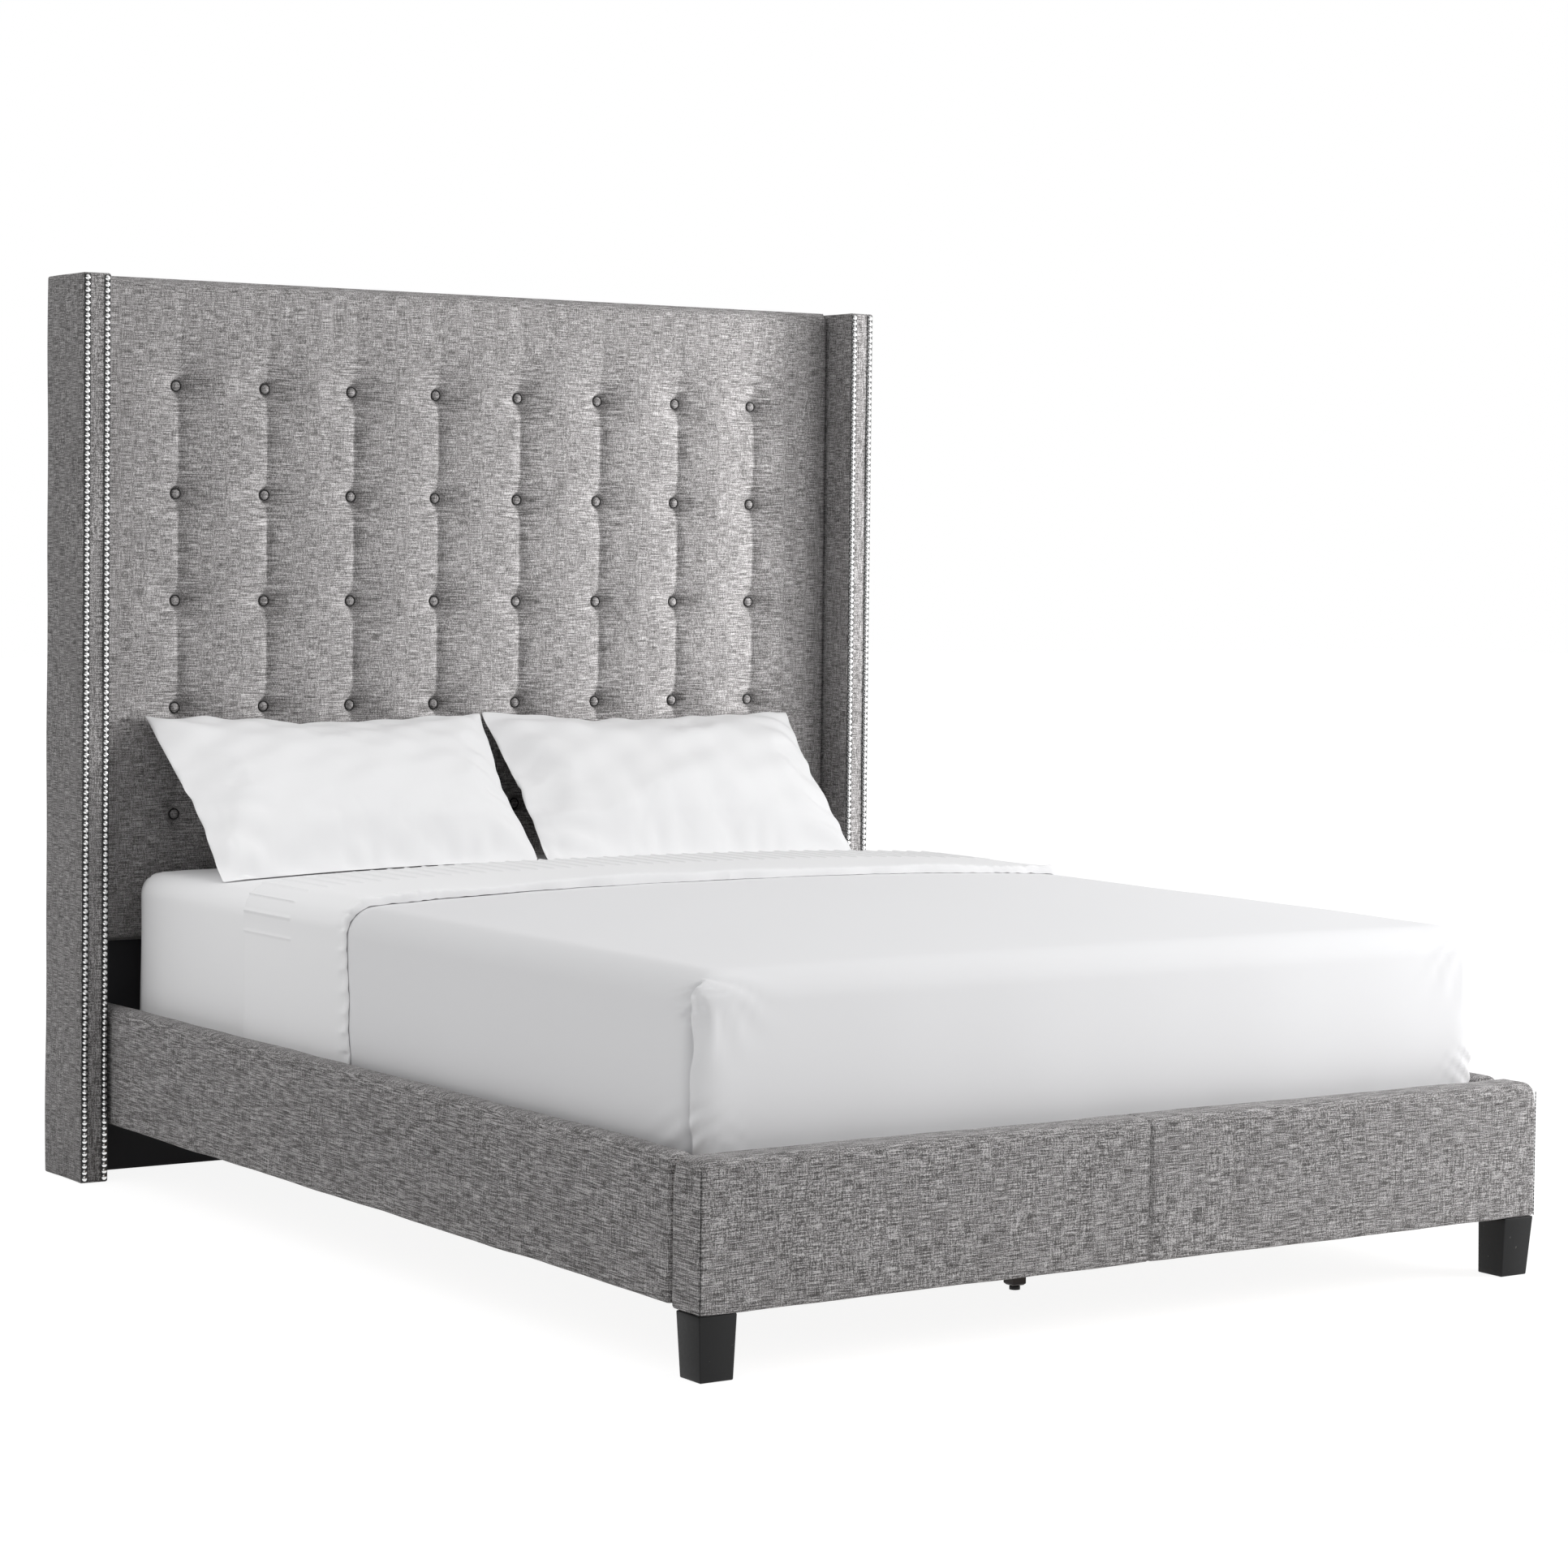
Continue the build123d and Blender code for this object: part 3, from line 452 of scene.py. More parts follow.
class Tree:
    """Places and joins the nodes of one node tree."""

    def __init__(self, tree: bpy.types.NodeTree) -> None:
        """Takes the tree to work on."""
        self.tree = tree

    def add(self, kind: str, inputs: dict | None = None, **settings: object) -> bpy.types.Node:
        """Adds a node, sets its options and feeds its sockets.

        Args:
            kind: The node's type.
            inputs: Sockets by name or number, each with a value or with another node's output.
            settings: Options of the node.

        Returns:
            The node.
        """
        node = self.tree.nodes.new(kind)
        for name, value in settings.items():
            setattr(node, name, value)
        for name, value in (inputs or {}).items():
            if isinstance(value, Socket):
                self.tree.links.new(value, node.inputs[name])
            else:
                node.inputs[name].default_value = value
        return node

    def maths(self, operation: str, first: Socket | float, second: Socket | float = 0.0) -> Socket:
        """The result of one sum, such as MULTIPLY, on two values."""
        return self.add("ShaderNodeMath", {0: first, 1: second}, operation=operation).outputs[0]

    def spread(self, value: Socket, low: float, high: float) -> Socket:
        """Stretches the values from low to high to 0 to 1, with the ends held."""
        return self.add("ShaderNodeMapRange", {"Value": value, "From Min": low, "From Max": high}).outputs[0]

    def between(self, share: Socket, low: float, high: float) -> Socket:
        """Turns shares from 0 to 1 into values from low to high."""
        return self.add("ShaderNodeMapRange", {"Value": share, "To Min": low, "To Max": high}).outputs[0]

    def split(self, vector: Socket) -> bpy.types.NodeOutputs:
        """The X, Y and Z of a vector."""
        return self.add("ShaderNodeSeparateXYZ", {0: vector}).outputs

    def noise(self, vector: Socket, scale: Sequence[float], detail: float, rough: float = 0.5) -> Socket:
        """Reads cloud noise on a stretched grid.

        Args:
            vector: Where it is read, in metres.
            scale: Cells per metre along X, Y and Z.
            detail: How many finer layers it has.
            rough: How strong they are.

        Returns:
            The noise's socket, from 0 to 1.
        """
        stretched = self.add("ShaderNodeMapping", {"Vector": vector, "Scale": tuple(scale)})
        cloud = self.add(
            "ShaderNodeTexNoise",
            {"Vector": stretched.outputs[0], "Scale": 1.0, "Detail": detail, "Roughness": rough},
        )
        return cloud.outputs[0]

    def blend(
        self, amount: Socket | float, low: Socket | Colour, high: Socket | Colour, way: str = "MIX"
    ) -> Socket:
        """Puts a second colour on a first one, the given way and by an amount from 0 to 1."""
        node = self.add("ShaderNodeMix", {0: amount, 6: low, 7: high}, data_type="RGBA", blend_type=way)
        return node.outputs[2]

    def bump(self, height: Socket, strength: float, distance: float, over: Socket | None = None) -> Socket:
        """Gives a surface a relief.

        Args:
            height: 0 where the relief is low and 1 where it is high.
            strength: Share of the relief that shows.
            distance: How high it is.
            over: The coarser relief that it lies on.

        Returns:
            The socket of the way that the surface faces.
        """
        inputs = {"Height": height, "Strength": strength, "Distance": distance}
        if over is not None:
            inputs["Normal"] = over
        return self.add("ShaderNodeBump", inputs).outputs[0]

    def coat(
        self, colour: Socket, roughness: Socket | float, rest: dict[str, Socket | float]
    ) -> bpy.types.Node:
        """Adds the shader of a surface by its colour, its roughness and what else it needs."""
        inputs = {"Base Color": colour, "Roughness": roughness, **rest}
        return self.add("ShaderNodeBsdfPrincipled", inputs)


def grey(value: float, warmth: float = 0.0) -> Colour:
    """A grey with a little warmth in it, as a colour."""
    return (value * (1 + warmth), value, value * (1 - warmth), 1.0)


def rosy(value: float) -> Colour:
    """The faint rosy cast of the linen at a brightness, as a colour."""
    return (value * 1.028, value, value * 1.004, 1.0)


def effect(name: str, outputs: Sequence[str], numbers: dict[str, float]) -> tuple[bpy.types.NodeTree, bool]:
    """Finds a node group that several finishes share, or starts it with its sockets.

    Args:
        name: Name of the group.
        outputs: Its outputs, which are numbers.
        numbers: Its number inputs, each with its usual value.

    Returns:
        The group, and whether it still has to be filled.
    """
    group = bpy.data.node_groups.get(name)
    if group:
        return group, False
    group = bpy.data.node_groups.new(name, "ShaderNodeTree")
    sockets = group.interface
    sockets.new_socket(name="Place", in_out="INPUT", socket_type="NodeSocketVector")
    for word, value in numbers.items():
        sockets.new_socket(name=word, in_out="INPUT", socket_type="NodeSocketFloat").default_value = value
    for word in outputs:
        sockets.new_socket(name=word, in_out="OUTPUT", socket_type="NodeSocketFloat")
    return group, True


def slub_weave() -> bpy.types.NodeTree:
    """Cloth woven from uneven yarn: threads along the level and up, some of them thick or pale.

    Returns:
        The group. Threads is 0 for a dark thread and 1 for a pale one, and Clouds drifts slowly.
    """
    usual = {"Level Yarn": 1.0, "Upright Yarn": 1.0, "Lying Yarn": 0.0}
    group, fresh = effect("slub_weave", ("Threads", "Clouds"), usual)
    if not fresh:
        return group
    work = Tree(group)
    start = work.add("NodeGroupInput").outputs
    layers = (
        ("Level Yarn", (36, 36, 880), 1.12),
        ("Upright Yarn", (840, 840, 64), 0.66),
        ("Upright Yarn", (560, 560, 560), 0.86),
        ("Lying Yarn", (36, 880, 36), 1.12),
    )
    total = 0.5
    for yarn, scale, share in layers:
        cloud = work.noise(start["Place"], scale, 0.0, 0.6)
        swing = work.maths("MULTIPLY", work.maths("SUBTRACT", cloud, 0.5), share)
        total = work.maths("ADD", total, work.maths("MULTIPLY", swing, start[yarn]))
    drift = work.noise(start["Place"], (4, 4, 5), 3.0)
    work.add("NodeGroupOutput", {"Threads": total, "Clouds": drift})
    return group


def long_grain() -> bpy.types.NodeTree:
    """Wood grain that runs along the X of its place.

    Returns:
        The group. Grain is 0 in the dark lines and 1 between them.
    """
    group, fresh = effect("long_grain", ("Grain",), {})
    if not fresh:
        return group
    work = Tree(group)
    place = work.add("NodeGroupInput").outputs["Place"]
    rings = work.noise(place, (2.5, 45, 45), 4.0, 0.6)
    pores = work.noise(place, (20, 420, 420), 2.0, 0.6)
    mixed = work.maths("ADD", work.maths("MULTIPLY", rings, 0.7), work.maths("MULTIPLY", pores, 0.3))
    work.add("NodeGroupOutput", {"Grain": work.spread(mixed, 0.3, 0.7)})
    return group


def worn_spots() -> bpy.types.NodeTree:
    """Scattered small spots, as of knocks in paint.

    Returns:
        The group. Spots is 1 on a spot and 0 elsewhere.
    """
    group, fresh = effect("worn_spots", ("Spots",), {"Rarity": 0.7})
    if not fresh:
        return group
    work = Tree(group)
    start = work.add("NodeGroupInput").outputs
    cloud = work.noise(start["Place"], (160, 160, 160), 3.0, 0.65)
    above = work.maths("SUBTRACT", cloud, start["Rarity"])
    work.add("NodeGroupOutput", {"Spots": work.spread(above, 0.0, 0.03)})
    return group


@dataclass(frozen=True)
class Finish:
    """A surface whose material is built once and shared by the pieces that have it."""

    name: str
    slot: str

    def material(self) -> bpy.types.Material:
        """Finds the material, or builds it.

        Returns:
            The material.
        """
        found = bpy.data.materials.get(self.name)
        if found:
            return found
        made = bpy.data.materials.new(self.name)
        made.use_nodes = True
        made.node_tree.nodes.clear()
        work = Tree(made.node_tree)
        place = work.add("ShaderNodeTexCoord").outputs["Object"]
        shader = self.build(work, place)
        work.add("ShaderNodeOutputMaterial", {"Surface": shader.outputs[0]})
        return made

    def build(self, work: Tree, place: Socket) -> bpy.types.Node:
        """Adds the nodes of this finish and gives its shader."""
        raise NotImplementedError

    def dress(self, piece: Piece) -> None:
        """Puts the material on a piece in place of what it had."""
        piece.data.materials.clear()
        piece.data.materials.append(self.material())


@dataclass(frozen=True)
class SlubLinen(Finish):
    """Grey linen of uneven yarn with pale and dark threads both ways."""

    dark: float = 0.086
    middle: float = 0.236
    pale: float = 0.62
    contrast: float = 1.0
    upright: float = 1.0

    def build(self, work: Tree, place: Socket) -> bpy.types.Node:
        """Colours the threads, tints them slowly and lifts the pale ones.

        Args:
            work: The material's nodes.
            place: Where on the object.

        Returns:
            The shader.
        """
        upwards = work.split(work.add("ShaderNodeNewGeometry").outputs["Normal"])[2]
        lying = work.spread(work.maths("MULTIPLY", upwards, upwards), 0.35, 0.75)
        yarns = {
            "Place": place,
            "Level Yarn": work.maths("MULTIPLY", work.maths("SUBTRACT", 1.0, lying), self.contrast),
            "Upright Yarn": self.contrast * self.upright,
            "Lying Yarn": work.maths("MULTIPLY", lying, self.contrast),
        }
        weave = work.add("ShaderNodeGroup", yarns, node_tree=slub_weave()).outputs
        ramp = work.add("ShaderNodeValToRGB", {"Fac": weave["Threads"]})
        stops = ramp.color_ramp.elements
        stops[0].position, stops[0].color = 0.24, grey(self.dark, 0.02)
        stops[1].position, stops[1].color = 0.88, grey(self.pale)
        stops.new(0.5).color = grey(self.middle, 0.012)
        tint = work.blend(work.spread(weave["Clouds"], 0.35, 0.65), rosy(0.93), rosy(1.0))
        colour = work.blend(1.0, ramp.outputs[0], tint, "MULTIPLY")
        relief = work.bump(weave["Threads"], 0.35, 0.0012)
        sheen = {"Specular IOR Level": 0.2, "Sheen Weight": 0.12, "Sheen Roughness": 0.5}
        return work.coat(colour, 0.9, {"Normal": relief, **sheen})


@dataclass(frozen=True)
class PlainCotton(Finish):
    """White bed cotton: a fine even weave with soft creases."""

    white: float
    crease: float

    def build(self, work: Tree, place: Socket) -> bpy.types.Node:
        """Adds soft creases under a fine weave, with painted shade a little darker in their hollows.

        Args:
            work: The material's nodes.
            place: Where on the object.

        Returns:
            The shader.
        """
        creases = work.noise(place, (11, 11, 11), 4.0, 0.5)
        threads = work.noise(place, (900, 900, 900), 1.0)
        relief = work.bump(threads, 0.12, 0.0004, over=work.bump(creases, self.crease, 0.012))
        # Painted shade: the cotton is a little darker in the hollows of the creases.
        shaded_hollows = grey(self.white * 0.985, 0.006)
        shade = work.blend(work.spread(creases, 0.3, 0.7), shaded_hollows, grey(self.white, 0.006))
        sheen = {"Specular IOR Level": 0.2, "Sheen Weight": 0.1, "Sheen Roughness": 0.4}
        return work.coat(shade, 0.85, {"Normal": relief, **sheen})


@dataclass(frozen=True)
class DarkCloth(Finish):
    """Thin black cloth with a fine matt web."""

    black: float = 0.012

    def build(self, work: Tree, place: Socket) -> bpy.types.Node:
        """Varies the black a little with the weave.

        Args:
            work: The material's nodes.
            place: Where on the object.

        Returns:
            The shader.
        """
        threads = work.add("ShaderNodeGroup", {"Place": place}, node_tree=slub_weave()).outputs["Threads"]
        shade = work.blend(work.spread(threads, 0.3, 0.7), grey(self.black * 0.6), grey(self.black * 1.5))
        relief = work.bump(threads, 0.3, 0.0005)
        return work.coat(shade, 0.92, {"Normal": relief, "Specular IOR Level": 0.15})


@dataclass(frozen=True)
class BareTimber(Finish):
    """Bare wood whose grain runs along one axis."""

    pale: Shade = (0.62, 0.44, 0.27)
    dark: Shade = (0.40, 0.25, 0.13)
    along: int = 0

    def build(self, work: Tree, place: Socket) -> bpy.types.Node:
        """Turns the grain along the wood and colours its lines.

        Args:
            work: The material's nodes.
            place: Where on the object.

        Returns:
            The shader.
        """
        parts = work.split(place)
        order = [self.along] + [axis for axis in range(3) if axis != self.along]
        turned = work.add("ShaderNodeCombineXYZ", {i: parts[axis] for i, axis in enumerate(order)})
        grain = work.add("ShaderNodeGroup", {"Place": turned.outputs[0]}, node_tree=long_grain()).outputs[0]
        colour = work.blend(grain, (*self.dark, 1.0), (*self.pale, 1.0))
        return work.coat(colour, 0.6, {"Normal": work.bump(grain, 0.15, 0.0006)})


@dataclass(frozen=True)
class SatinPaint(Finish):
    """Dark satin paint on wood, knocked here and there."""

    shade: Shade = (0.006, 0.006, 0.0065)
    gloss: float = 0.46

    def build(self, work: Tree, place: Socket) -> bpy.types.Node:
        """Puts rare pale knocks in an even dark coat.

        Args:
            work: The material's nodes.
            place: Where on the object.

        Returns:
            The shader.
        """
        worn = work.add("ShaderNodeGroup", {"Place": place, "Rarity": 0.72}, node_tree=worn_spots())
        spots = worn.outputs[0]
        colour = work.blend(spots, (*self.shade, 1.0), grey(0.12, 0.05))
        orange_peel = work.noise(place, (240, 240, 240), 2.0)
        relief = work.bump(orange_peel, 0.08, 0.0005)
        rough = work.between(orange_peel, self.gloss - 0.06, self.gloss + 0.08)
        return work.coat(colour, rough, {"Normal": relief, "Specular IOR Level": 0.3})


@dataclass(frozen=True)
class BrightMetal(Finish):
    """Plated metal, polished or satin."""

    tone: float
    gloss: float
    # Share of painted shade where a rim turns away from the front.
    rim_shade: float = 0.0

    def build(self, work: Tree, place: Socket) -> bpy.types.Node:
        """Makes the polish a little uneven, and dark with painted shade where a rim turns away from the
        front.

        Args:
            work: The material's nodes.
            place: Where on the object.

        Returns:
            The shader.
        """
        # Painted shade: the metal darkens where it faces away from minus Y.
        lengthwise = work.split(work.add("ShaderNodeNewGeometry").outputs["Normal"])[1]
        facing = work.spread(work.maths("MULTIPLY", lengthwise, -1.0), 0.35, 0.62)
        rim_shading = work.maths("MULTIPLY", work.maths("SUBTRACT", 1.0, facing), self.rim_shade)
        tone = work.blend(rim_shading, grey(self.tone), grey(0.03))
        cloud = work.noise(place, (300, 300, 300), 2.0)
        return work.coat(tone, work.between(cloud, self.gloss * 0.7, self.gloss * 1.4), {"Metallic": 1.0})


@dataclass(frozen=True)
class MouldedPlastic(Finish):
    """Dark plastic with a fine moulded skin."""

    shade: float = 0.02

    def build(self, work: Tree, place: Socket) -> bpy.types.Node:
        """Roughens an even dark skin.

        Args:
            work: The material's nodes.
            place: Where on the object.

        Returns:
            The shader.
        """
        grainy = work.noise(place, (1400, 1400, 1400), 1.0)
        relief = work.bump(grainy, 0.15, 0.0002)
        tone = work.blend(grainy, grey(self.shade * 0.8), grey(self.shade * 1.2))
        return work.coat(tone, 0.6, {"Normal": relief})


LINEN = SlubLinen("grey_linen", "linen")
PAD_LINEN = SlubLinen("grey_pad_linen", "linen", contrast=0.74)
# The same grey linen with a stronger upright weave, painted a little darker all over as shade.
PAINTED_SHADE_WING_LINEN = SlubLinen(
    "painted_shade_wing_linen", "linen", dark=0.08, middle=0.22, pale=0.57, contrast=0.78, upright=1.3
)
# Near-black linen for the rings round the buttons and the cords at the footboard's corners: painted shade.
SHADE_LINEN = SlubLinen("painted_shade_linen", "linen", dark=0.012, middle=0.02, pale=0.04, contrast=0.4)
LINEN_THREAD = SlubLinen("grey_thread", "linen", dark=0.1, middle=0.2, pale=0.34, contrast=0.5)
BLACK_CLOTH = DarkCloth("black_cloth", "black_cloth")
WEBBING = DarkCloth("black_webbing", "webbing", black=0.03)
COVERLET_COTTON = PlainCotton("coverlet_cotton", "coverlet_cotton", white=0.93, crease=0.16)
SHEET_COTTON = PlainCotton("sheet_cotton", "sheet_cotton", white=0.93, crease=0.2)
PILLOW_COTTON = PlainCotton("pillow_cotton", "pillow_cotton", white=0.90, crease=0.2)
TICKING = PlainCotton("mattress_ticking", "ticking", white=0.78, crease=0.3)
# The nail heads are painted dark where their rims turn away from the front, as shade.
NICKEL = BrightMetal("polished_nickel", "nailheads", tone=0.86, gloss=0.2, rim_shade=1.0)
# Near-black metal behind the nails: painted shade in the gaps between the nail heads.
NAIL_SHADE_STRIP = BrightMetal("nail_shade_strip", "nailheads", tone=0.05, gloss=0.45)
ZINC = BrightMetal("zinc_plate", "bolt_steel", tone=0.55, gloss=0.36)
BLACK_LEG = SatinPaint("black_leg_paint", "black_leg")
DARK_LEG = SatinPaint("dark_leg_stain", "dark_leg", shade=(0.045, 0.034, 0.03), gloss=0.42)
BLACK_STEEL = SatinPaint("black_steel_coat", "bracket_steel", shade=(0.025, 0.025, 0.027), gloss=0.45)
GLIDE = MouldedPlastic("black_glide", "glide_plastic")
TIMBER_ALONG_X = BareTimber("timber_across", "frame_timber")
TIMBER_ALONG_Y = BareTimber("timber_lengthwise", "frame_timber", along=1)
TIMBER_ALONG_Z = BareTimber("timber_upright", "frame_timber", along=2)
PLYWOOD = BareTimber("plywood", "plywood", pale=(0.66, 0.5, 0.33), dark=(0.5, 0.34, 0.2))
SLAT_TIMBER = BareTimber("slat_timber", "slat_timber", pale=(0.70, 0.54, 0.35), dark=(0.5, 0.35, 0.2))


def settle(piece: Piece, finish: Finish, body: str, *stands_for: str, smooth_below: float = 50) -> Piece:
    """Gives a finished piece its surface, its body and the CAD nodes it stands for.

    Args:
        piece: The piece.
        finish: Its surface.
        body: The body it moves with.
        stands_for: CAD nodes that it replaces.
        smooth_below: Edges that turn less than this many degrees are shaded smooth.

    Returns:
        The piece.
    """
    take_up(piece)
    bpy.ops.object.shade_smooth_by_angle(angle=radians(smooth_below))
    finish.dress(piece)
    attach(piece, body)
    if stands_for:
        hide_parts(*stands_for)
    log.info("%s: %d faces", piece.name, len(piece.data.polygons))
    return piece


# Padded covers


@dataclass
class PaddedCover:
    """A padded linen cover round a board, rounded and a little uneven, with grooves at its seams."""

    name: str
    node: str
    board: str
    seed: int
    linen: SlubLinen = LINEN
    step: float = 0.022
    top_radius: float = 0.017
    side_radius: float = 0.007
    unevenness: float = 0.0011
    waves: tuple[float, float] = (0.35, 0.16)
    short: float = 0.0
    base_cut: float = 0.005
    seams: dict[int, list[float]] = field(default_factory=dict)
    seam_depth: float = 0.0012
    seam_reach: float = 0.0022

    def body(self) -> Piece:
        """Models the cover from a block with edge loops, and sinks its seams.

        Returns:
            The cover, still without its board's room.
        """
        low, high = corners(self.node)
        low[1] += self.short
        piece = block(self.name, low, high)
        edge = max(self.top_radius, self.side_radius)
        for axis in range(3):
            seams = self.seams.get(axis, [])
            beside = [seam + self.seam_reach * share for seam in seams for share in SEAM_LOOPS]
            cut_loops(piece, axis, loop_places(low[axis], high[axis], edge, self.step, beside))
        flat = middles(piece)
        points = rounded(flat, low, high, self.top_radius, self.side_radius)
        share = (flat - (low + high) / 2) / ((high - low) / 2)
        outward = np.where(np.abs(np.abs(share) - 1) < ON_BORDER, np.sign(share), 0.0)
        outward = outward / np.maximum(np.linalg.norm(outward, axis=1, keepdims=True), TINY)
        swell = self.unevenness * ripple(flat, self.waves, self.seed)
        for axis, seams in self.seams.items():
            for seam in seams:
                swell -= self.seam_depth * bell(flat[:, axis] - seam, self.seam_reach)
        reshape(piece, points + outward * swell[:, None])
        return piece

    def build(self) -> Piece:
        """Models the cover, makes room for its board with an open base, and settles it.

        Returns:
            The finished cover.
        """
        piece = self.body()
        low, high = corners(self.board)
        low[2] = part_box(self.node)[0][2] - self.base_cut
        hollow(piece, low - SKIN, high + SKIN)
        return settle(piece, self.linen, FRAME_BODY, self.node, smooth_below=40)


@dataclass
class StitchRow:
    """A straight row of short stitches that lie on a cover."""

    start: Place
    end: Place
    stitch: float = 0.0045
    gap: float = 0.0022
    thickness: float = 0.0011

    def build(self, name: str) -> Piece:
        """Models one stitch and repeats it along the row.

        Args:
            name: Name of the row.

        Returns:
            The row.
        """
        way = Vector(self.end) - Vector(self.start)
        count = max(1, int(way.length / (self.stitch + self.gap)))
        piece = add_ball(name, 6, 4, 0.5)
        turn = way.to_track_quat("Z", "Y").to_matrix()
        points = middles(piece) * np.array([self.thickness, self.thickness, self.stitch])
        reshape(piece, points @ np.array(turn).T + np.array(self.start))
        row_of(piece, count, way / count)
        return piece


# Headboard


@dataclass
class TuftedPad:
    """Headboard pad: linen drawn into vertical folds by rows of covered buttons."""

    columns: int = 8
    rows: int = 5
    column_pitch: float = 0.186
    row_pitch: float = 0.204
    top_row: float = 1.492
    depth: float = 0.027
    crest: float = 0.003
    fold_share: float = 0.52
    fold_rise: float = 0.35
    fold_reach: float = 0.010
    fold_width: float = 0.068
    fold_sharp: float = 0.34
    fold_soft: float = 0.66
    fold_bottom: float = 0.0012
    fade_reach: float = 0.15
    fade_rate: float = 2.2
    dimple_start: float = 0.9
    dimple_height: float = 0.9
    dimple_reach: float = 0.021
    dimple_width: float = 0.06
    dimple_sharp: float = 0.7
    dimple_soft: float = 0.3
    groove: float = 0.0035
    groove_place: float = 1.10
    groove_width: float = 0.0030
    border_steps: tuple[float, ...] = (0.1, 0.1, 0.3, 0.5)
    border_width: float = 0.013
    edge_radius: float = 0.024
    base_share: float = 0.6
    unevenness: float = 0.0008
    waves: tuple[float, float] = (0.3, 0.12)
    seed: int = 5
    fine: float = 0.0027
    coarse: float = 0.0085
    fine_reach: float = 0.021
    seat: float = 0.0006
    wrap_depth: float = 0.012
    wrap_lift: float = 0.0004
    wrap_radius: float = 0.006
    wrap_base_radius: float = 0.001
    wrap_edge: float = 0.004
    wrap_step: float = 0.05
    button_radius: float = 0.0098
    button_height: float = 0.0075
    button_base: float = -0.35
    button_sink: float = 0.001
    # Thickness and setback of the rings of painted shade round the buttons.
    rim: float = 0.0012
    rim_lift: float = 0.0022

    def crowded_at(self, low: float, high: float, buttons: Points) -> Points:
        """Places grid lines close together about the buttons and wider between them.

        Args:
            low: Start of the stretch.
            high: End of the stretch.
            buttons: Middles of the buttons along the stretch.

        Returns:
            The places, in order.
        """
        places = [low]
        while places[-1] < high:
            near = np.abs(buttons - places[-1]).min() < self.fine_reach
            places.append(places[-1] + (self.fine if near else self.coarse))
        return np.array([*places[:-1], high])

    def button_places(self) -> tuple[Points, Points]:
        """Where the columns and rows of buttons are.

        Returns:
            X of each column and Z of each row.
        """
        columns = (np.arange(self.columns) - (self.columns - 1) / 2) * self.column_pitch
        rows = self.top_row - np.arange(self.rows) * self.row_pitch
        return columns, rows

    def fold(self, beside: Points, z: Points) -> Points:
        """How deep the fold along a column of buttons is.

        Args:
            beside: How far each place lies beside its column.
            z: Heights.

        Returns:
            The depth at each place.
        """
        rows = self.button_places()[1]
        above = np.clip((z - rows[0]) / self.fade_reach, 0, None)
        below = np.clip((rows[-1] - z) / self.fade_reach, 0, None)
        outside = np.maximum(above, below)
        phase = np.where(outside > 0, 1.0, np.cos(2 * pi * (z - rows[0]) / self.row_pitch))
        along = self.fold_share + (1 - self.fold_share) * self.fold_rise * np.clip(phase, 0, 1) ** 2
        along = along * np.exp(-self.fade_rate * outside)
        cusp = np.sqrt(beside**2 + self.fold_bottom**2) - self.fold_bottom
        arch = np.clip(1 - cusp / self.fold_width, 0, 1) ** 2
        sharp = self.fold_sharp * np.exp(-cusp / self.fold_reach)
        return self.depth * along * (sharp + self.fold_soft * arch)

    def dimple(self, beside: Points, z: Points) -> Points:
        """How deep the cloth is drawn in round the buttons.

        Args:
            beside: How far each place lies beside its column.
            z: Heights.

        Returns:
            The depth at each place.
        """
        deepest = np.zeros(len(z))
        for row in self.button_places()[1]:
            distance = np.hypot(beside, (z - row) * self.dimple_height)
            reach = np.clip(distance - self.button_radius * self.dimple_start, 0, None)
            sunk = self.dimple_sharp * np.exp(-reach / self.dimple_reach)
            sunk = sunk + self.dimple_soft * bell(reach, self.dimple_width)
            groove = self.groove * bell(distance - self.button_radius * self.groove_place, self.groove_width)
            deepest = np.maximum(deepest, self.depth * sunk + groove)
        return deepest

    def sinking(self, x: Points, z: Points) -> Points:
        """How far the cloth lies behind the crest of the padding.

        Args:
            x: Places across.
            z: Heights.

        Returns:
            The depth at each place.
        """
        beside = x[:, None] - self.button_places()[0][None, :]
        nearest = np.abs(beside).argmin(axis=1)
        beside = beside[np.arange(len(x)), nearest]
        return (self.fold(beside, z) ** 3 + self.dimple(beside, z) ** 3) ** (1 / 3)

    def pad(self) -> Piece:
        """Models the front from a grid and draws its border back to the board.

        Returns:
            The pad.
        """
        low, high = corners("headboard_pad")
        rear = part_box("headboard_face_board")[0][1] - self.seat
        columns, rows = self.button_places()
        across = self.crowded_at(low[0], high[0], columns)
        up = self.crowded_at(low[2], high[2], rows)
        piece = add_grid("headboard_pad_cover", len(across) - 1, len(up) - 1)
        choose(piece, Part.FACES, np.ones(len(piece.data.polygons), dtype=bool))
        bpy.ops.mesh.region_to_loop()
        for step in self.border_steps:
            bpy.ops.mesh.extrude_edges_move(TRANSFORM_OT_translate={"value": (0, 0, step)})
        bpy.ops.mesh.edge_face_add()
        done()
        grid = middles(piece)
        front = low[1] - self.crest
        x, z = stretched(grid[:, 0], across), stretched(grid[:, 1], up)
        back = grid[:, 2]
        y = front + np.where(back > 0, back * (rear - front), 0.0)
        side = np.clip(self.border_width - (high[0] - np.abs(x)), 0, None) / self.border_width
        top = np.clip(self.edge_radius - (high[2] - z), 0, None) / self.edge_radius
        base_reach = self.base_share * self.edge_radius
        base = np.clip(base_reach - (z - low[2]), 0, None) / base_reach
        turn = np.sqrt(np.clip(side**2 + top**2 + base**2, 0, 1))
        setback = self.edge_radius * (1 - np.sqrt(1 - turn**2))
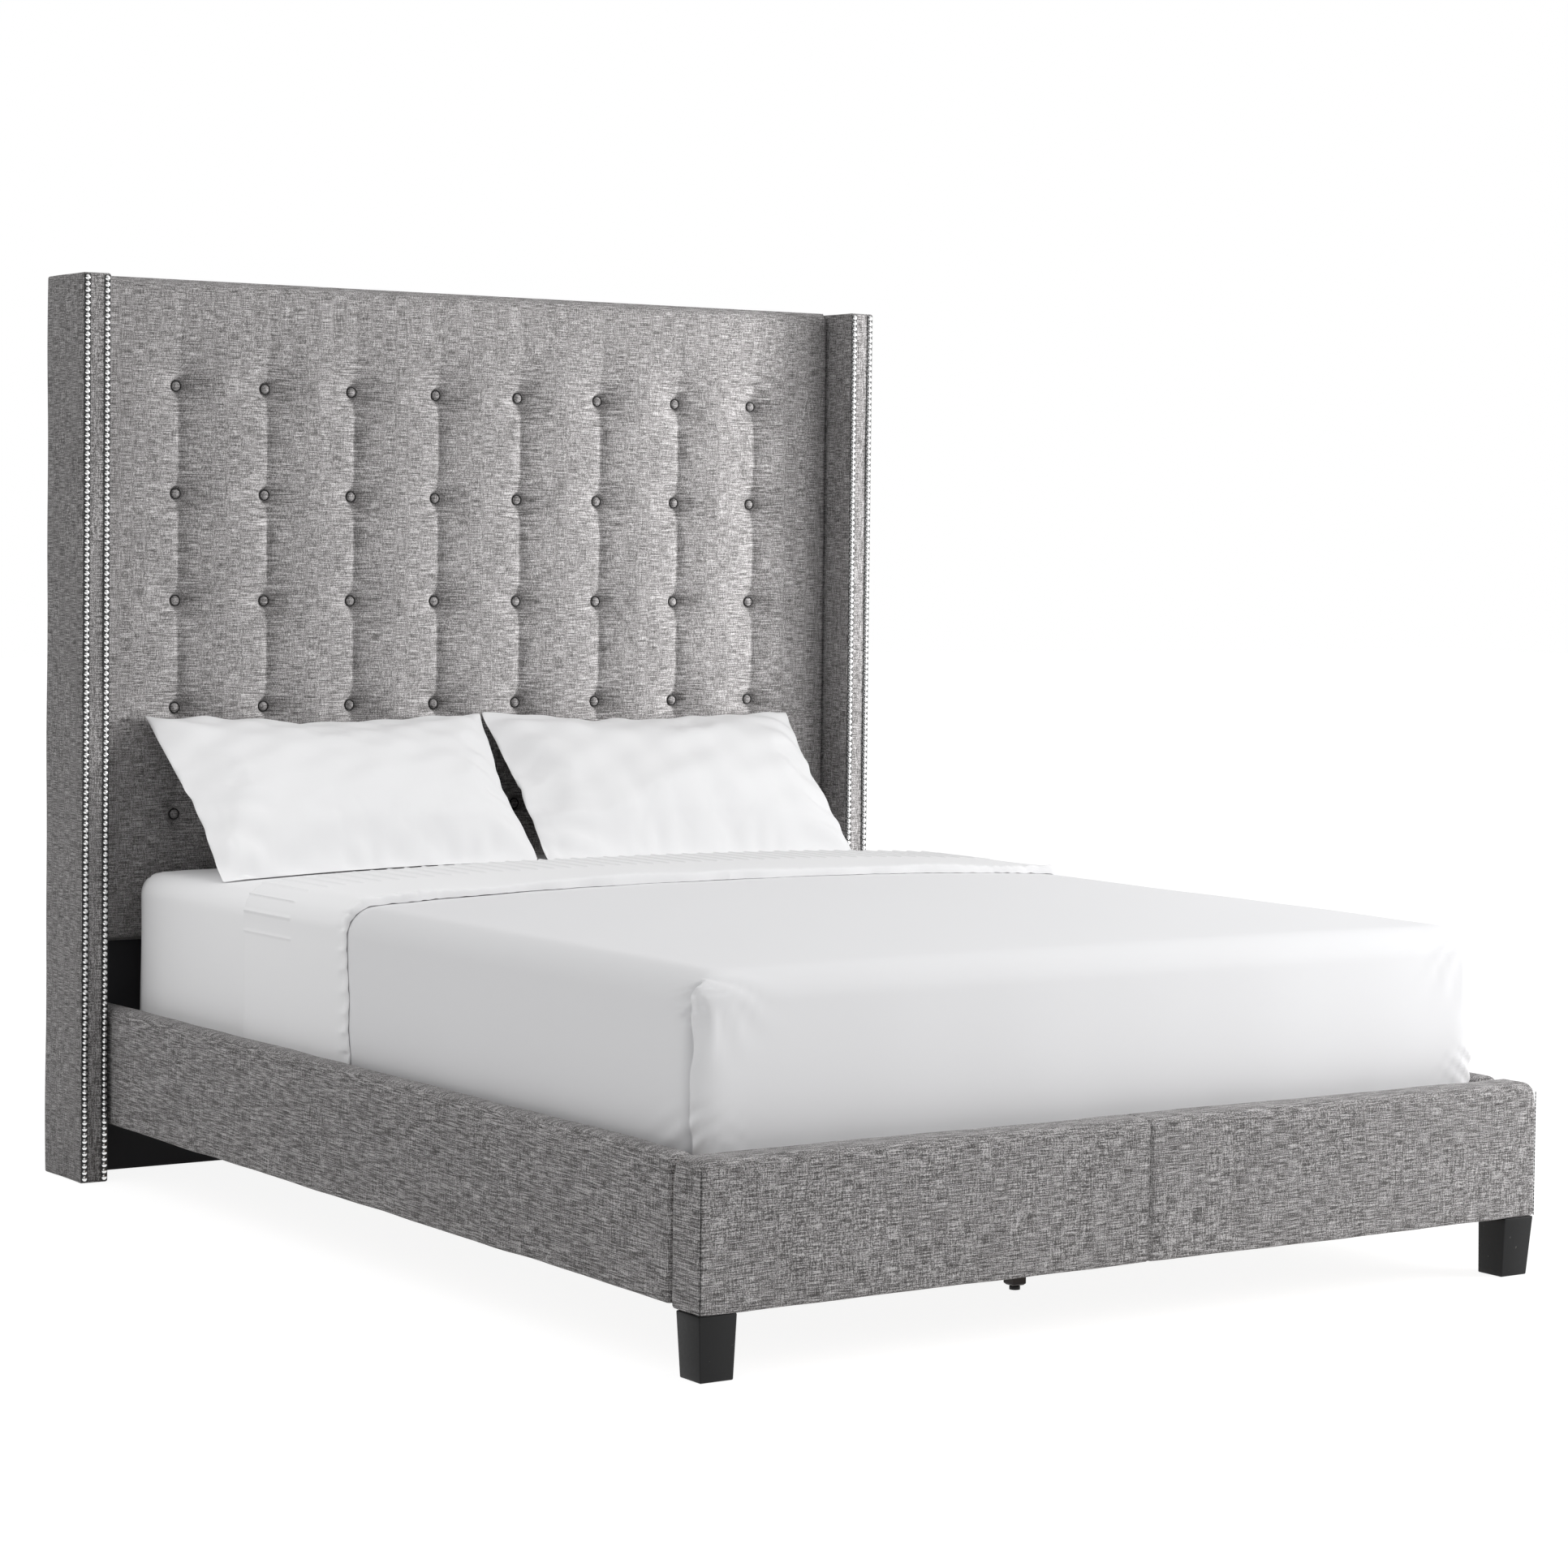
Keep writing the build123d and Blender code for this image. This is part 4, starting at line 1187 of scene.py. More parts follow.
        uneven = self.unevenness * ripple(np.column_stack([x, x * 0, z]), self.waves, self.seed)
        pressed = y + setback + (self.sinking(x, z) + uneven) * (1 - turn)
        y = np.where(back < ON_BORDER, pressed, np.maximum(y, front + self.edge_radius))
        reshape(piece, np.column_stack([x, np.minimum(y, rear), z]))
        face_outwards(piece)
        return piece

    def top_wrap(self) -> Piece:
        """Models the strip of cover that goes over the top of the frame.

        Returns:
            The strip.
        """
        low, high = corners("headboard_pad")
        board_low, board_high = corners("headboard_face_board")
        near = np.array([low[0], board_low[1] - self.wrap_depth, board_high[2] + self.wrap_lift])
        strip = block("pad_top_wrap", near, high)
        for axis in range(3):
            cut_loops(strip, axis, loop_places(near[axis], high[axis], self.wrap_edge, self.wrap_step))
        reshape(strip, rounded(middles(strip), near, high, self.wrap_radius, self.wrap_base_radius))
        return strip

    def repeated(self, piece: Piece, points: Points, y: Points) -> Piece:
        """Stands a button or a ring of painted shade up at the first button's place and repeats it over the
        columns and rows.

        Args:
            piece: The piece, lying about the origin.
            points: Its points as it lies.
            y: Where each of them goes to along the bed.

        Returns:
            The piece, now one mesh with all its copies.
        """
        columns, rows = self.button_places()
        reshape(piece, np.column_stack([points[:, 0] + columns[0], y, points[:, 1] + rows[0]]))
        row_of(piece, self.columns, (self.column_pitch, 0, 0))
        row_of(piece, self.rows, (0, 0, -self.row_pitch))
        face_outwards(piece)
        return piece

    def buttons(self) -> Piece:
        """Models the covered buttons as low domes.

        Returns:
            All the buttons.
        """
        piece = add_dome("covered_buttons", 16, 10, self.button_radius, self.button_base * self.button_radius)
        ball = middles(piece)
        height = np.maximum(ball[:, 2] / self.button_radius, self.button_base) * self.button_height
        drawn_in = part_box("headboard_pad")[0][1] + self.depth
        return self.repeated(piece, ball, drawn_in + self.button_sink - height)

    def shade_rims(self) -> Piece:
        """Models thin near-black rings round the buttons: painted shade where the linen is drawn in.

        Returns:
            All the rings of painted shade.
        """
        clear_selection()
        bpy.ops.mesh.primitive_torus_add(
            major_radius=self.button_radius,
            minor_radius=self.rim,
            major_segments=20,
            minor_segments=6,
        )
        piece = named("button_shade_rims")
        ring = middles(piece)
        drawn_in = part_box("headboard_pad")[0][1] + self.depth
        return self.repeated(piece, ring, drawn_in - self.rim_lift - ring[:, 2])

    def build(self) -> list[Piece]:
        """Builds and dresses the pad and its buttons.

        Returns:
            The pad, its buttons and the rings of painted shade round them.
        """
        pad = join("headboard_pad_cover", [self.pad(), self.top_wrap()])
        settle(pad, PAD_LINEN, FRAME_BODY, "headboard_pad")
        buttons = settle(self.buttons(), PAD_LINEN, FRAME_BODY, "tuft_buttons", smooth_below=60)
        # Dark rings round the buttons paint the shade where the linen is drawn in.
        shade_rims = settle(self.shade_rims(), SHADE_LINEN, FRAME_BODY, smooth_below=60)
        return [pad, buttons, shade_rims]


@dataclass
class Wing:
    """One wing: its padded cover, the two rows of nails down its front edge and dark strips of painted shade
    behind them.
    """

    side: Side
    step: float = 0.03
    radius: float = 0.004
    unevenness: float = 0.0009
    seed: int = 11
    nail_pitch: float = 0.0116
    nail_radius: float = 0.0056
    nail_height: float = 0.0042
    nail_lift: float = 0.0008
    nail_base: float = -0.1
    row_inset: float = 0.008
    row_end: float = 0.009
    strip_edge: float = 0.0007
    strip_front: float = 0.0011
    strip_back: float = 0.0016

    def row_middles(self) -> tuple[float, float]:
        """X of the two rows of nails."""
        low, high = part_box(f"wing_cover_{self.side.word}")
        return low[0] + self.row_inset, high[0] - self.row_inset

    def nails(self) -> Piece:
        """Models one domed nail and repeats it down both rows.

        Returns:
            The nails.
        """
        low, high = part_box(f"wing_cover_{self.side.word}")
        span = high[2] - low[2] - 2 * self.row_end
        count = round(span / self.nail_pitch) + 1
        rows = []
        for x in self.row_middles():
            nail = add_dome("nail", 10, 6, 1, self.nail_base)
            dome = middles(nail)
            height = np.clip(dome[:, 2], 0, 1) * self.nail_height
            place = [
                x + dome[:, 0] * self.nail_radius,
                low[1] - self.nail_lift - height,
                low[2] + self.row_end + dome[:, 1] * self.nail_radius,
            ]
            reshape(nail, np.column_stack(place))
            row_of(nail, count, (0, 0, span / (count - 1)))
            face_outwards(nail)
            rows.append(nail)
        return join(f"nail_rows_{self.side.word}", rows)

    def strips(self) -> Piece:
        """Models the thin dark strip behind each row of nails, painted shade in the gaps between the nail
        heads.

        Returns:
            Both strips.
        """
        low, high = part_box(f"wing_cover_{self.side.word}")
        half = self.nail_radius + self.strip_edge
        strips = []
        for x in self.row_middles():
            near = (x - half, low[1] - self.strip_front, low[2] + self.row_end - half)
            far = (x + half, low[1] + self.strip_back, high[2] - self.row_end + half)
            strips.append(block("strip", near, far))
        return join(f"nail_strips_{self.side.word}", strips)

    def build(self) -> list[Piece]:
        """Builds and dresses the wing.

        Returns:
            The cover, the nails and their strips of painted shade.
        """
        word = self.side.word
        cover = PaddedCover(
            f"wing_cover_{word}_linen",
            f"wing_cover_{word}",
            f"wing_core_{word}",
            self.seed + self.side.value,
            linen=PAINTED_SHADE_WING_LINEN,
            step=self.step,
            top_radius=self.radius,
            side_radius=self.radius,
            unevenness=self.unevenness,
        ).build()
        nails = settle(self.nails(), NICKEL, FRAME_BODY, f"nail_trim_{word}", smooth_below=70)
        # The strips paint the shade in the gaps between the nails.
        strips = settle(self.strips(), NAIL_SHADE_STRIP, FRAME_BODY)
        return [cover, nails, strips]


@dataclass
class DustCover:
    """Thin black cloth stapled over the back of the headboard."""

    cloth: float = 0.0006
    sag: float = 0.0007
    sag_share: float = 0.4
    lift: float = 0.0002
    waves: tuple[float, float] = (0.5, 0.2)
    seed: int = 3
    faces: int = 70

    def build(self) -> None:
        """Builds the cloth from a grid that lies against the frame."""
        low, high = corners("headboard_dust_cover")
        piece = add_grid("dust_cover_cloth", self.faces, self.faces)
        grid = middles(piece)
        x = (low[0] + high[0]) / 2 - grid[:, 0] * (high[0] - low[0]) / 2
        z = (low[2] + high[2]) / 2 + grid[:, 1] * (high[2] - low[2]) / 2
        free = np.clip(1 - grid[:, 0] ** 8, 0, 1) * np.clip(1 - grid[:, 1] ** 8, 0, 1)
        wave = ripple(np.column_stack([x, x * 0, z]), self.waves, self.seed)
        y = high[1] - self.lift - self.sag * (1 + wave) * self.sag_share * free
        reshape(piece, np.column_stack([x, y, z]))
        thicken(piece, self.cloth)
        settle(piece, BLACK_CLOTH, FRAME_BODY, "headboard_dust_cover")


# Rails and footboard


@dataclass
class SideRail:
    """One side rail: its padded cover with two piecing seams on the outer side."""

    side: Side
    seams: tuple[float, float] = (0.354, -0.334)
    gap: float = 0.0076
    seed: int = 21

    def build(self) -> None:
        """Builds the cover on its board, with a gap to the footboard."""
        word = self.side.word
        PaddedCover(
            f"side_rail_{word}_linen",
            f"side_rail_cover_{word}",
            f"side_rail_board_{word}",
            self.seed + self.side.value,
            short=self.gap,
            seams={1: list(self.seams)},
        ).build()


@dataclass
class Footboard:
    """Footboard: its padded cover, with a double-stitched seam in the middle and a dark cord of painted shade
    at each corner seam.
    """

    top_radius: float = 0.018
    corner_radius: float = 0.006
    seam: float = 0.0030
    seed: int = 31
    stitch_line: float = 0.0045
    stitch_lift: float = 0.0002
    stitch_low: float = 0.006
    stitch_high: float = 0.02
    # Near-black cords down the corners, painted shade of the corner seams.
    cord: float = 0.0018
    cord_stitch: float = 0.0068
    cord_lap: float = 0.0006
    cord_lift: float = 0.0003
    cord_low: float = 0.004
    cord_high: float = 0.012

    def build(self) -> None:
        """Builds the cover on its board, sews its middle seam and lays dark cords of painted shade down its
        corners.
        """
        low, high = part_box("footboard_cover")
        PaddedCover(
            "footboard_linen",
            "footboard_cover",
            "footboard_board",
            self.seed,
            top_radius=self.top_radius,
            side_radius=self.corner_radius,
            seams={0: [0.0]},
            seam_depth=self.seam,
            seam_reach=self.seam,
        ).build()
        y = low[1] - self.stitch_lift
        rows = [
            StitchRow((x, y, low[2] + self.stitch_low), (x, y, high[2] - self.stitch_high)).build("row")
            for x in (-self.stitch_line, self.stitch_line)
        ]
        settle(join("footboard_stitches", rows), LINEN_THREAD, FRAME_BODY)
        # The corner cords are near-black linen that paints the shade of each corner seam.
        inset = self.corner_radius * ARC_INSET - self.cord_lift
        shade_cords = [
            StitchRow(
                (x, low[1] + inset, low[2] + self.cord_low),
                (x, low[1] + inset, high[2] - self.cord_high),
                stitch=self.cord_stitch,
                gap=-self.cord_lap,
                thickness=self.cord,
            ).build("cord")
            for x in (low[0] + inset, high[0] - inset)
        ]
        settle(join("footboard_corner_shade_cords", shade_cords), SHADE_LINEN, FRAME_BODY, smooth_below=60)


@dataclass
class FrontLeg:
    """One tapered front leg with eased edges."""

    side: Side
    outer_taper: float = 0.007
    inner_taper: float = -0.001
    foot: float = 0.001
    easing: float = 0.0022
    easing_steps: int = 3
    loop_inset: float = 0.01
    loops: int = 6

    def build(self) -> None:
        """Models the leg from a block that narrows to its foot, with bevelled edges."""
        node = f"front_leg_{self.side.word}"
        low, high = corners(node)
        piece = block(f"{node}_painted", low, high)
        points = middles(piece)
        outer = points[:, 0] * self.side.value > abs(low[0] + high[0]) / 2
        front = points[:, 1] < (low[1] + high[1]) / 2
        at_foot = points[:, 2] < low[2] + self.foot
        inward = np.where(outer, self.outer_taper, self.inner_taper) * self.side.value
        points[:, 0] -= np.where(at_foot, inward, 0)
        points[:, 1] += np.where(at_foot, np.where(front, self.outer_taper, self.inner_taper), 0)
        reshape(piece, points)
        ease = piece.modifiers.new("easing", "BEVEL")
        ease.width = self.easing
        ease.segments = self.easing_steps
        apply_modifiers(piece)
        cut_loops(piece, 2, np.linspace(low[2] + self.loop_inset, high[2] - self.loop_inset, self.loops))
        settle(piece, BLACK_LEG, FRAME_BODY, node, smooth_below=30)


# Mattress and bedding


@dataclass(frozen=True)
class BeddingForm:
    """The outside of the mattress: rounded corners and edges and a crowned top."""

    half_width: float = 0.762
    half_length: float = 1.016
    middle: float = 0.0051
    base: float = 0.270
    edge_z: float = 0.572
    crown: float = 0.020
    crown_power_across: float = 2.6
    crown_power_along: float = 5
    corner_radius: float = 0.060
    edge_radius: float = 0.040

    def crown_at(self, x: Points, y: Points) -> Points:
        """How much the top rises above its edge at a place.

        Args:
            x: Places across.
            y: Places along.

        Returns:
            The rise at each place.
        """
        across = np.clip(1 - np.abs(x / self.half_width) ** self.crown_power_across, 0, 1)
        lengthwise = np.abs((y - self.middle) / self.half_length)
        return self.crown * across * np.clip(1 - lengthwise**self.crown_power_along, 0, 1)

    def top_at(self, x: Points, y: Points, growth: float) -> Points:
        """Height of the top at a place, with the rounding of its edges.

        Args:
            x: Places across.
            y: Places along.
            growth: How far the surface lies outside the mattress.

        Returns:
            The heights.
        """
        radius = self.edge_radius + growth
        from_side = self.half_width + growth - np.abs(x)
        from_end = self.half_length + growth - np.abs(y - self.middle)
        reach = np.clip(radius - np.minimum(from_side, from_end), 0, radius)
        fall = radius - np.sqrt(np.clip(radius**2 - reach**2, 0, None))
        return self.edge_z + growth + self.crown_at(x, y) - fall

    def surface(self, x: Points, y: Points, down: Points, growth: float) -> tuple[Points, Points]:
        """Lays a cover with square corners over the mattress.

        Args:
            x: Places across on the square cover.
            y: Places along on the square cover.
            down: How far each point hangs below the top's border, and 0 on the top.
            growth: How far the surface lies outside the mattress.

        Returns:
            The points on the rounded form, and the way out of the form at each.
        """
        half_x = self.half_width + growth
        half_y = self.half_length + growth
        corner, edge = self.corner_radius + growth, self.edge_radius + growth
        y = y - self.middle
        core_x = np.clip(x, corner - half_x, half_x - corner)
        core_y = np.clip(y, corner - half_y, half_y - corner)
        away_x, away_y = x - core_x, y - core_y
        longest = np.maximum(np.abs(away_x), np.abs(away_y))
        length = np.maximum(np.hypot(away_x, away_y), TINY)
        away_x, away_y = away_x * longest / length, away_y * longest / length
        length = np.maximum(np.hypot(away_x, away_y), TINY)
        out_x, out_y = away_x / length, away_y / length
        in_reach = np.clip(edge - (corner - longest), 0, edge)
        down_reach = np.clip(edge - down, 0, edge)
        reach = np.maximum(np.hypot(in_reach, down_reach), TINY)
        new_in, new_down = edge * in_reach / reach, edge * down_reach / reach
        shift = in_reach - new_in
        top_x, top_y = core_x + away_x - out_x * shift, core_y + away_y - out_y * shift
        fall = down + down_reach - new_down
        z = self.edge_z + growth - fall + self.crown_at(top_x, top_y + self.middle) * new_down / edge
        points = np.column_stack([top_x, top_y + self.middle, z])
        outward = np.column_stack([out_x * new_in, out_y * new_in, new_down]) / edge
        return points, outward


def draped_grid(name: str, across: int, along: int, down: int, sides: Sequence[bool]) -> Piece:
    """Models a cover with square corners: a grid whose border is drawn down in steps.

    Args:
        name: Name of the piece.
        across: Faces from side to side on the top.
        along: Faces from end to end on the top.
        down: Steps that the border is drawn down in.
        sides: Which sides hang: left, right, foot and head.

    Returns:
        The piece, from -1 to 1 across and along, and from 0 to -1 down.
    """
    piece = add_grid(name, across, along)
    edges = middles(piece, Part.EDGES)
    wanted = np.zeros(len(edges), dtype=bool)
    for hangs, axis, place in zip(sides, (0, 0, 1, 1), (-1, 1, -1, 1)):
        if hangs:
            wanted |= np.abs(edges[:, axis] - place) < ON_BORDER
    choose(piece, Part.EDGES, wanted)
    for _ in range(down):
        bpy.ops.mesh.extrude_edges_move(TRANSFORM_OT_translate={"value": (0, 0, -1 / down)})
    done()
    return piece


def stretched(share: Points, places: Sequence[float]) -> Points:
    """Moves even shares, from their least to their greatest, to the places of as many steps."""
    return np.interp(share, np.linspace(share.min(), share.max(), len(places)), places)


def eased_places(low: float, high: float, fine: float, coarse: float, growth: float = 1.25) -> Points:
    """Places steps that start fine at both ends and grow towards the middle.

    Args:
        low: Start of the stretch.
        high: End of the stretch.
        fine: First step.
        coarse: Widest step.
        growth: How much each step is wider than the last.

    Returns:
        The places, in order.
    """
    half = [0.0]
    step = fine
    while half[-1] < (high - low) / 2:
        half.append(half[-1] + step)
        step = min(step * growth, coarse)
    half = np.array(half[:-1])
    return np.concatenate([low + half, [(low + high) / 2], (high - half)[::-1]])


@dataclass
class Mattress:
    """The mattress: ticking with a corded border at the top and the base."""

    form: BeddingForm
    shrink: float = 0.001
    cord: float = 0.004
    cord_height: float = 0.0006
    low_cord: float = 0.02
    high_cord: float = 0.03
    faces: tuple[int, int, int] = (60, 80, 16)

    def build(self) -> None:
        """Builds the mattress from a grid with drawn-down sides and a closed base."""
        piece = draped_grid("mattress_ticking_block", *self.faces, [True] * 4)
        grid = middles(piece)
        choose(piece, Part.EDGES, middles(piece, Part.EDGES)[:, 2] < -1 + ON_BORDER)
        bpy.ops.mesh.edge_face_add()
        done()
        form = self.form
        x = grid[:, 0] * form.half_width
        y = form.middle + grid[:, 1] * form.half_length
        depth = form.edge_z - form.base
        points, outward = form.surface(x, y, -grid[:, 2] * depth, -self.shrink)
        height = points[:, 2] - form.base
        border = bell(height - self.low_cord, self.cord) + bell(height - (depth - self.high_cord), self.cord)
        reshape(piece, points + outward * (border * self.cord_height - self.cord_height)[:, None])
        face_outwards(piece)
        settle(piece, TICKING, MATTRESS_BODY, "mattress")


@dataclass
class FittedSheet:
    """Fitted sheet: drawn tight over the mattress and in under its base."""

    form: BeddingForm
    growth: float = 0.0016
    cloth: float = 0.0010
    hem: float = 0.004
    fine: float = 0.004
    coarse_across: float = 0.022
    coarse_along: float = 0.024
    down: int = 36
    slack: float = 0.0011
    slack_start: float = 0.55
    slack_reach: float = 0.4
    waves: tuple[float, float] = (0.22, 0.09)
    seed: int = 41
    pleat: float = 0.0024
    pleat_corner: tuple[float, float] = (0.74, 0.995)
    pleat_middle: tuple[float, float] = (0.68, 0.93)
    pleat_reach: float = 0.055
    pleat_rate: float = 34
    pleat_slant: float = 9
    most: float = 0.0026

    def folds(self, points: Points, outward: Points) -> Points:
        """How far slack folds and pleats lift the cloth at the head.

        Args:
            points: Points on the plain form.
            outward: The way out at each.

        Returns:
            The lift of each point.
        """
        x, y, z = np.abs(points[:, 0]), points[:, 1], points[:, 2]
        near_head = np.clip((y - self.slack_start) / self.slack_reach, 0, 1)
        slack = self.slack * ripple(points * np.array([1, 1, 0.45]), self.waves, self.seed) * near_head
        corner = bell(np.hypot(x - self.pleat_corner[0], y - self.pleat_corner[1]), self.pleat_reach)
        around = np.arctan2(y - self.pleat_middle[1], x - self.pleat_middle[0])
        wave = np.maximum(np.sin(around * self.pleat_rate + z * self.pleat_slant), 0)
        on_top = outward[:, 2] > 0.9
        lift = np.where(on_top, np.minimum(slack, 0.0), slack * 0.5) + wave**2 * corner * self.pleat
        return np.minimum(lift, self.most)

    def build(self) -> Piece:
        """Builds the sheet with a few slack folds at its head corners.

        Returns:
            The piece.
        """
        form = self.form
        half_x, half_y = form.half_width + self.growth, form.half_length + self.growth
        across = eased_places(-half_x, half_x, self.fine, self.coarse_across)
        along = eased_places(form.middle - half_y, form.middle + half_y, self.fine, self.coarse_along)
        piece = draped_grid("fitted_sheet_cloth", len(across) - 1, len(along) - 1, self.down, [True] * 4)
        grid = middles(piece)
        x, y = stretched(grid[:, 0], across), stretched(grid[:, 1], along)
        down = -grid[:, 2] * (form.edge_z + self.growth - form.base - self.hem)
        points, outward = form.surface(x, y, down, self.growth)
        reshape(piece, points + outward * self.folds(points, outward)[:, None])
        thicken(piece, self.cloth)
        settle(piece, SHEET_COTTON, MATTRESS_BODY, "fitted_sheet")
        return piece


@dataclass
class Coverlet:
    """Coverlet: smooth over the top, hanging at the sides and folded at the foot corners."""

    form: BeddingForm
    growth: float = 0.0072
    cloth: float = 0.0042
    head: float = 0.490
    hem: float = 0.286
    fine: float = 0.0030
    coarse: float = 0.016
    head_room: float = 0.006
    down: int = 60
    bow: float = 0.0014
    unevenness: float = 0.0014
    waves: tuple[float, float] = (0.55, 0.24)
    seed: int = 51
    corner_in: float = 0.012
    fan: float = 0.0036
    fan_rate: float = 15
    fan_middle: float = 0.065
    fan_reach: float = 0.05
    draw: float = 0.0036
    draw_rate: float = 230
    draw_height: float = 0.325
    draw_reach: float = 0.035
    pucker: float = 0.0034
    pucker_pitch: float = 0.017
    pucker_height: float = 0.528
    pucker_rise: float = 0.026
    gather: float = 0.0024
    gather_pitch: float = 0.021
    gather_height: float = 0.33
    beside_corner: float = 0.03
    side_reach: float = 0.05
    split_below: float = 0.03
    hang_reach: float = 0.13
    flap_lift: float = 0.0045
    flap_radius: float = 0.022
    flap_lap: float = 0.013
    tuck_in: float = 0.018
    peak: float = 0.009
    peak_reach: float = 0.017

    def foot_folds(self, points: Points, outward: Points, side: int) -> Points:
        """How the foot's flap swells by the pull of one corner.

        Args:
            points: Points on the plain form.
            outward: The way out at each.
            side: -1 for the left corner and 1 for the right one.

        Returns:
            The swell at each point.
        """
        form = self.form
        edge_x = side * (form.half_width + self.growth - self.corner_in)
        foot = form.middle - form.half_length - self.growth
        away = points - np.array([edge_x, foot + 0.02, form.edge_z])
        reach = np.linalg.norm(away, axis=1)
        turn = np.arctan2(-away[:, 2], -side * away[:, 0])
        wave = np.sin(turn * self.fan_rate + 1.3 * np.sin(reach * 38))
        fan = wave * bell(reach - self.fan_middle, self.fan_reach) * (0.4 + 0.6 * np.clip(turn / 1.3, 0, 1))
        x, up = points[:, 0], points[:, 2] - self.draw_height
        low_corner = np.hypot((x - edge_x) * 1.3, up * 1.1)
        draw = np.sin((-side * x - up * 0.8) * self.draw_rate)
        draw = draw * bell(low_corner - self.draw_reach, self.draw_reach)
        return (self.fan * fan + self.draw * draw) * np.clip(-outward[:, 1], 0, 1)

    def side_folds(self, points: Points, outward: Points, side: int) -> Points:
        """How the cloth of one side puckers and gathers beside the foot.

        Args:
            points: Points on the plain form.
            outward: The way out at each.
            side: -1 for the left side and 1 for the right one.

        Returns:
            The swell at each point.
        """
        y, z = points[:, 1], points[:, 2]
        foot = self.form.middle - self.form.half_length - self.growth
        beside = y - (foot + self.beside_corner)
        pucker = np.sin((z + beside * 0.35) * 2 * pi / self.pucker_pitch + 1.2 * np.sin(z * 160))
        pucker = pucker * bell(z - self.pucker_height, self.pucker_rise) * bell(beside, self.side_reach)
        gather = np.sin((y - z * 0.5) * 2 * pi / self.gather_pitch)
        gather = gather * bell(z - self.gather_height, self.side_reach)
        gather = gather * bell(beside - self.beside_corner, self.side_reach)
        return (self.pucker * pucker + self.gather * gather) * np.clip(side * outward[:, 0], 0, 1)

    def folds(self, points: Points, outward: Points) -> Points:
        """How far the cloth swells or sinks by its fill, its slack and the pull of its folds.

        Args:
            points: Points on the plain form.
            outward: The way out at each.

        Returns:
            The swell at each point.
        """
        upright = 1 - np.clip(outward[:, 2], 0, 1)
        height = (points[:, 2] - self.hem) / (self.form.edge_z - self.hem)
        slack = ripple(points * np.array([1, 1, 0.35]), self.waves, self.seed) * (0.35 + 0.65 * upright)
        swell = self.unevenness * slack - self.bow * upright * (2 * height - 1) ** 2
        for side in (-1, 1):
            swell += self.foot_folds(points, outward, side) + self.side_folds(points, outward, side)
        return swell

    def corner_laps(self, points: Points, hang: Points, of_foot: Points) -> Points:
        """How the foot's flap laps over the side's cloth, which tucks in behind it.

        Args:
            points: Points on the form.
            hang: 0 on the top, and 1 where the flap hangs free of it.
            of_foot: True for the points of the foot's flap.

        Returns:
            The move of each point.
        """
        form = self.form
        foot = form.middle - form.half_length - self.growth
        inset = (form.corner_radius + self.growth) * ARC_INSET
        tight_inset = (self.flap_radius + self.growth) * ARC_INSET
        inset = np.where(of_foot, inset + (tight_inset - inset) * hang, inset)
        z = points[:, 2]
        move = np.zeros_like(points)
        for side in (-1, 1):
            line_x = side * (form.half_width + self.growth - inset)
            beside = np.hypot(points[:, 0] - line_x, points[:, 1] - foot - inset)
            out = np.array([side, -1.0, 0.0]) / np.sqrt(2)
            around = np.array([side, 1.0, 0.0]) / np.sqrt(2)
            wave = 1 + 0.18 * np.sin(z * 38 + side) + 0.09 * np.sin(z * 91)
            lap = self.flap_lap * bell(beside, 0.020) * wave
            lift = self.flap_lift * (bell(beside, 0.016) + 0.6 * bell(beside, 0.045))
            tuck = self.tuck_in * bell(beside, 0.030)
            flap = lap[:, None] * around + lift[:, None] * out
            behind = -tuck[:, None] * out
            move += np.where(of_foot[:, None], flap, behind) * hang[:, None]
            above = np.hypot(beside, z - form.edge_z + self.corner_in)
            peak = self.peak * bell(above, self.peak_reach)
            move += peak[:, None] * (out + np.array([0, 0, 0.5]))
        return move

    def split_corners(self, piece: Piece) -> Points:
        """Opens the cloth down its two foot corners.

        Args:
            piece: The cloth as a grid.

        Returns:
            True for each vertex of the foot's flap.
        """
        x, y, z = middles(piece, Part.EDGES).T
        corner = (np.abs(np.abs(x) - 1) < ON_BORDER) & (np.abs(y + 1) < ON_BORDER)
        choose(piece, Part.EDGES, corner & (z < -self.split_below))
        bpy.ops.mesh.edge_split(type="EDGE")
        done()
        faces = middles(piece, Part.FACES)
        of_foot = np.zeros(len(piece.data.vertices), dtype=bool)
        for number in np.flatnonzero((np.abs(faces[:, 1] + 1) < ON_BORDER) & (faces[:, 2] < -ON_BORDER)):
            of_foot[list(piece.data.polygons[number].vertices)] = True
        return of_foot

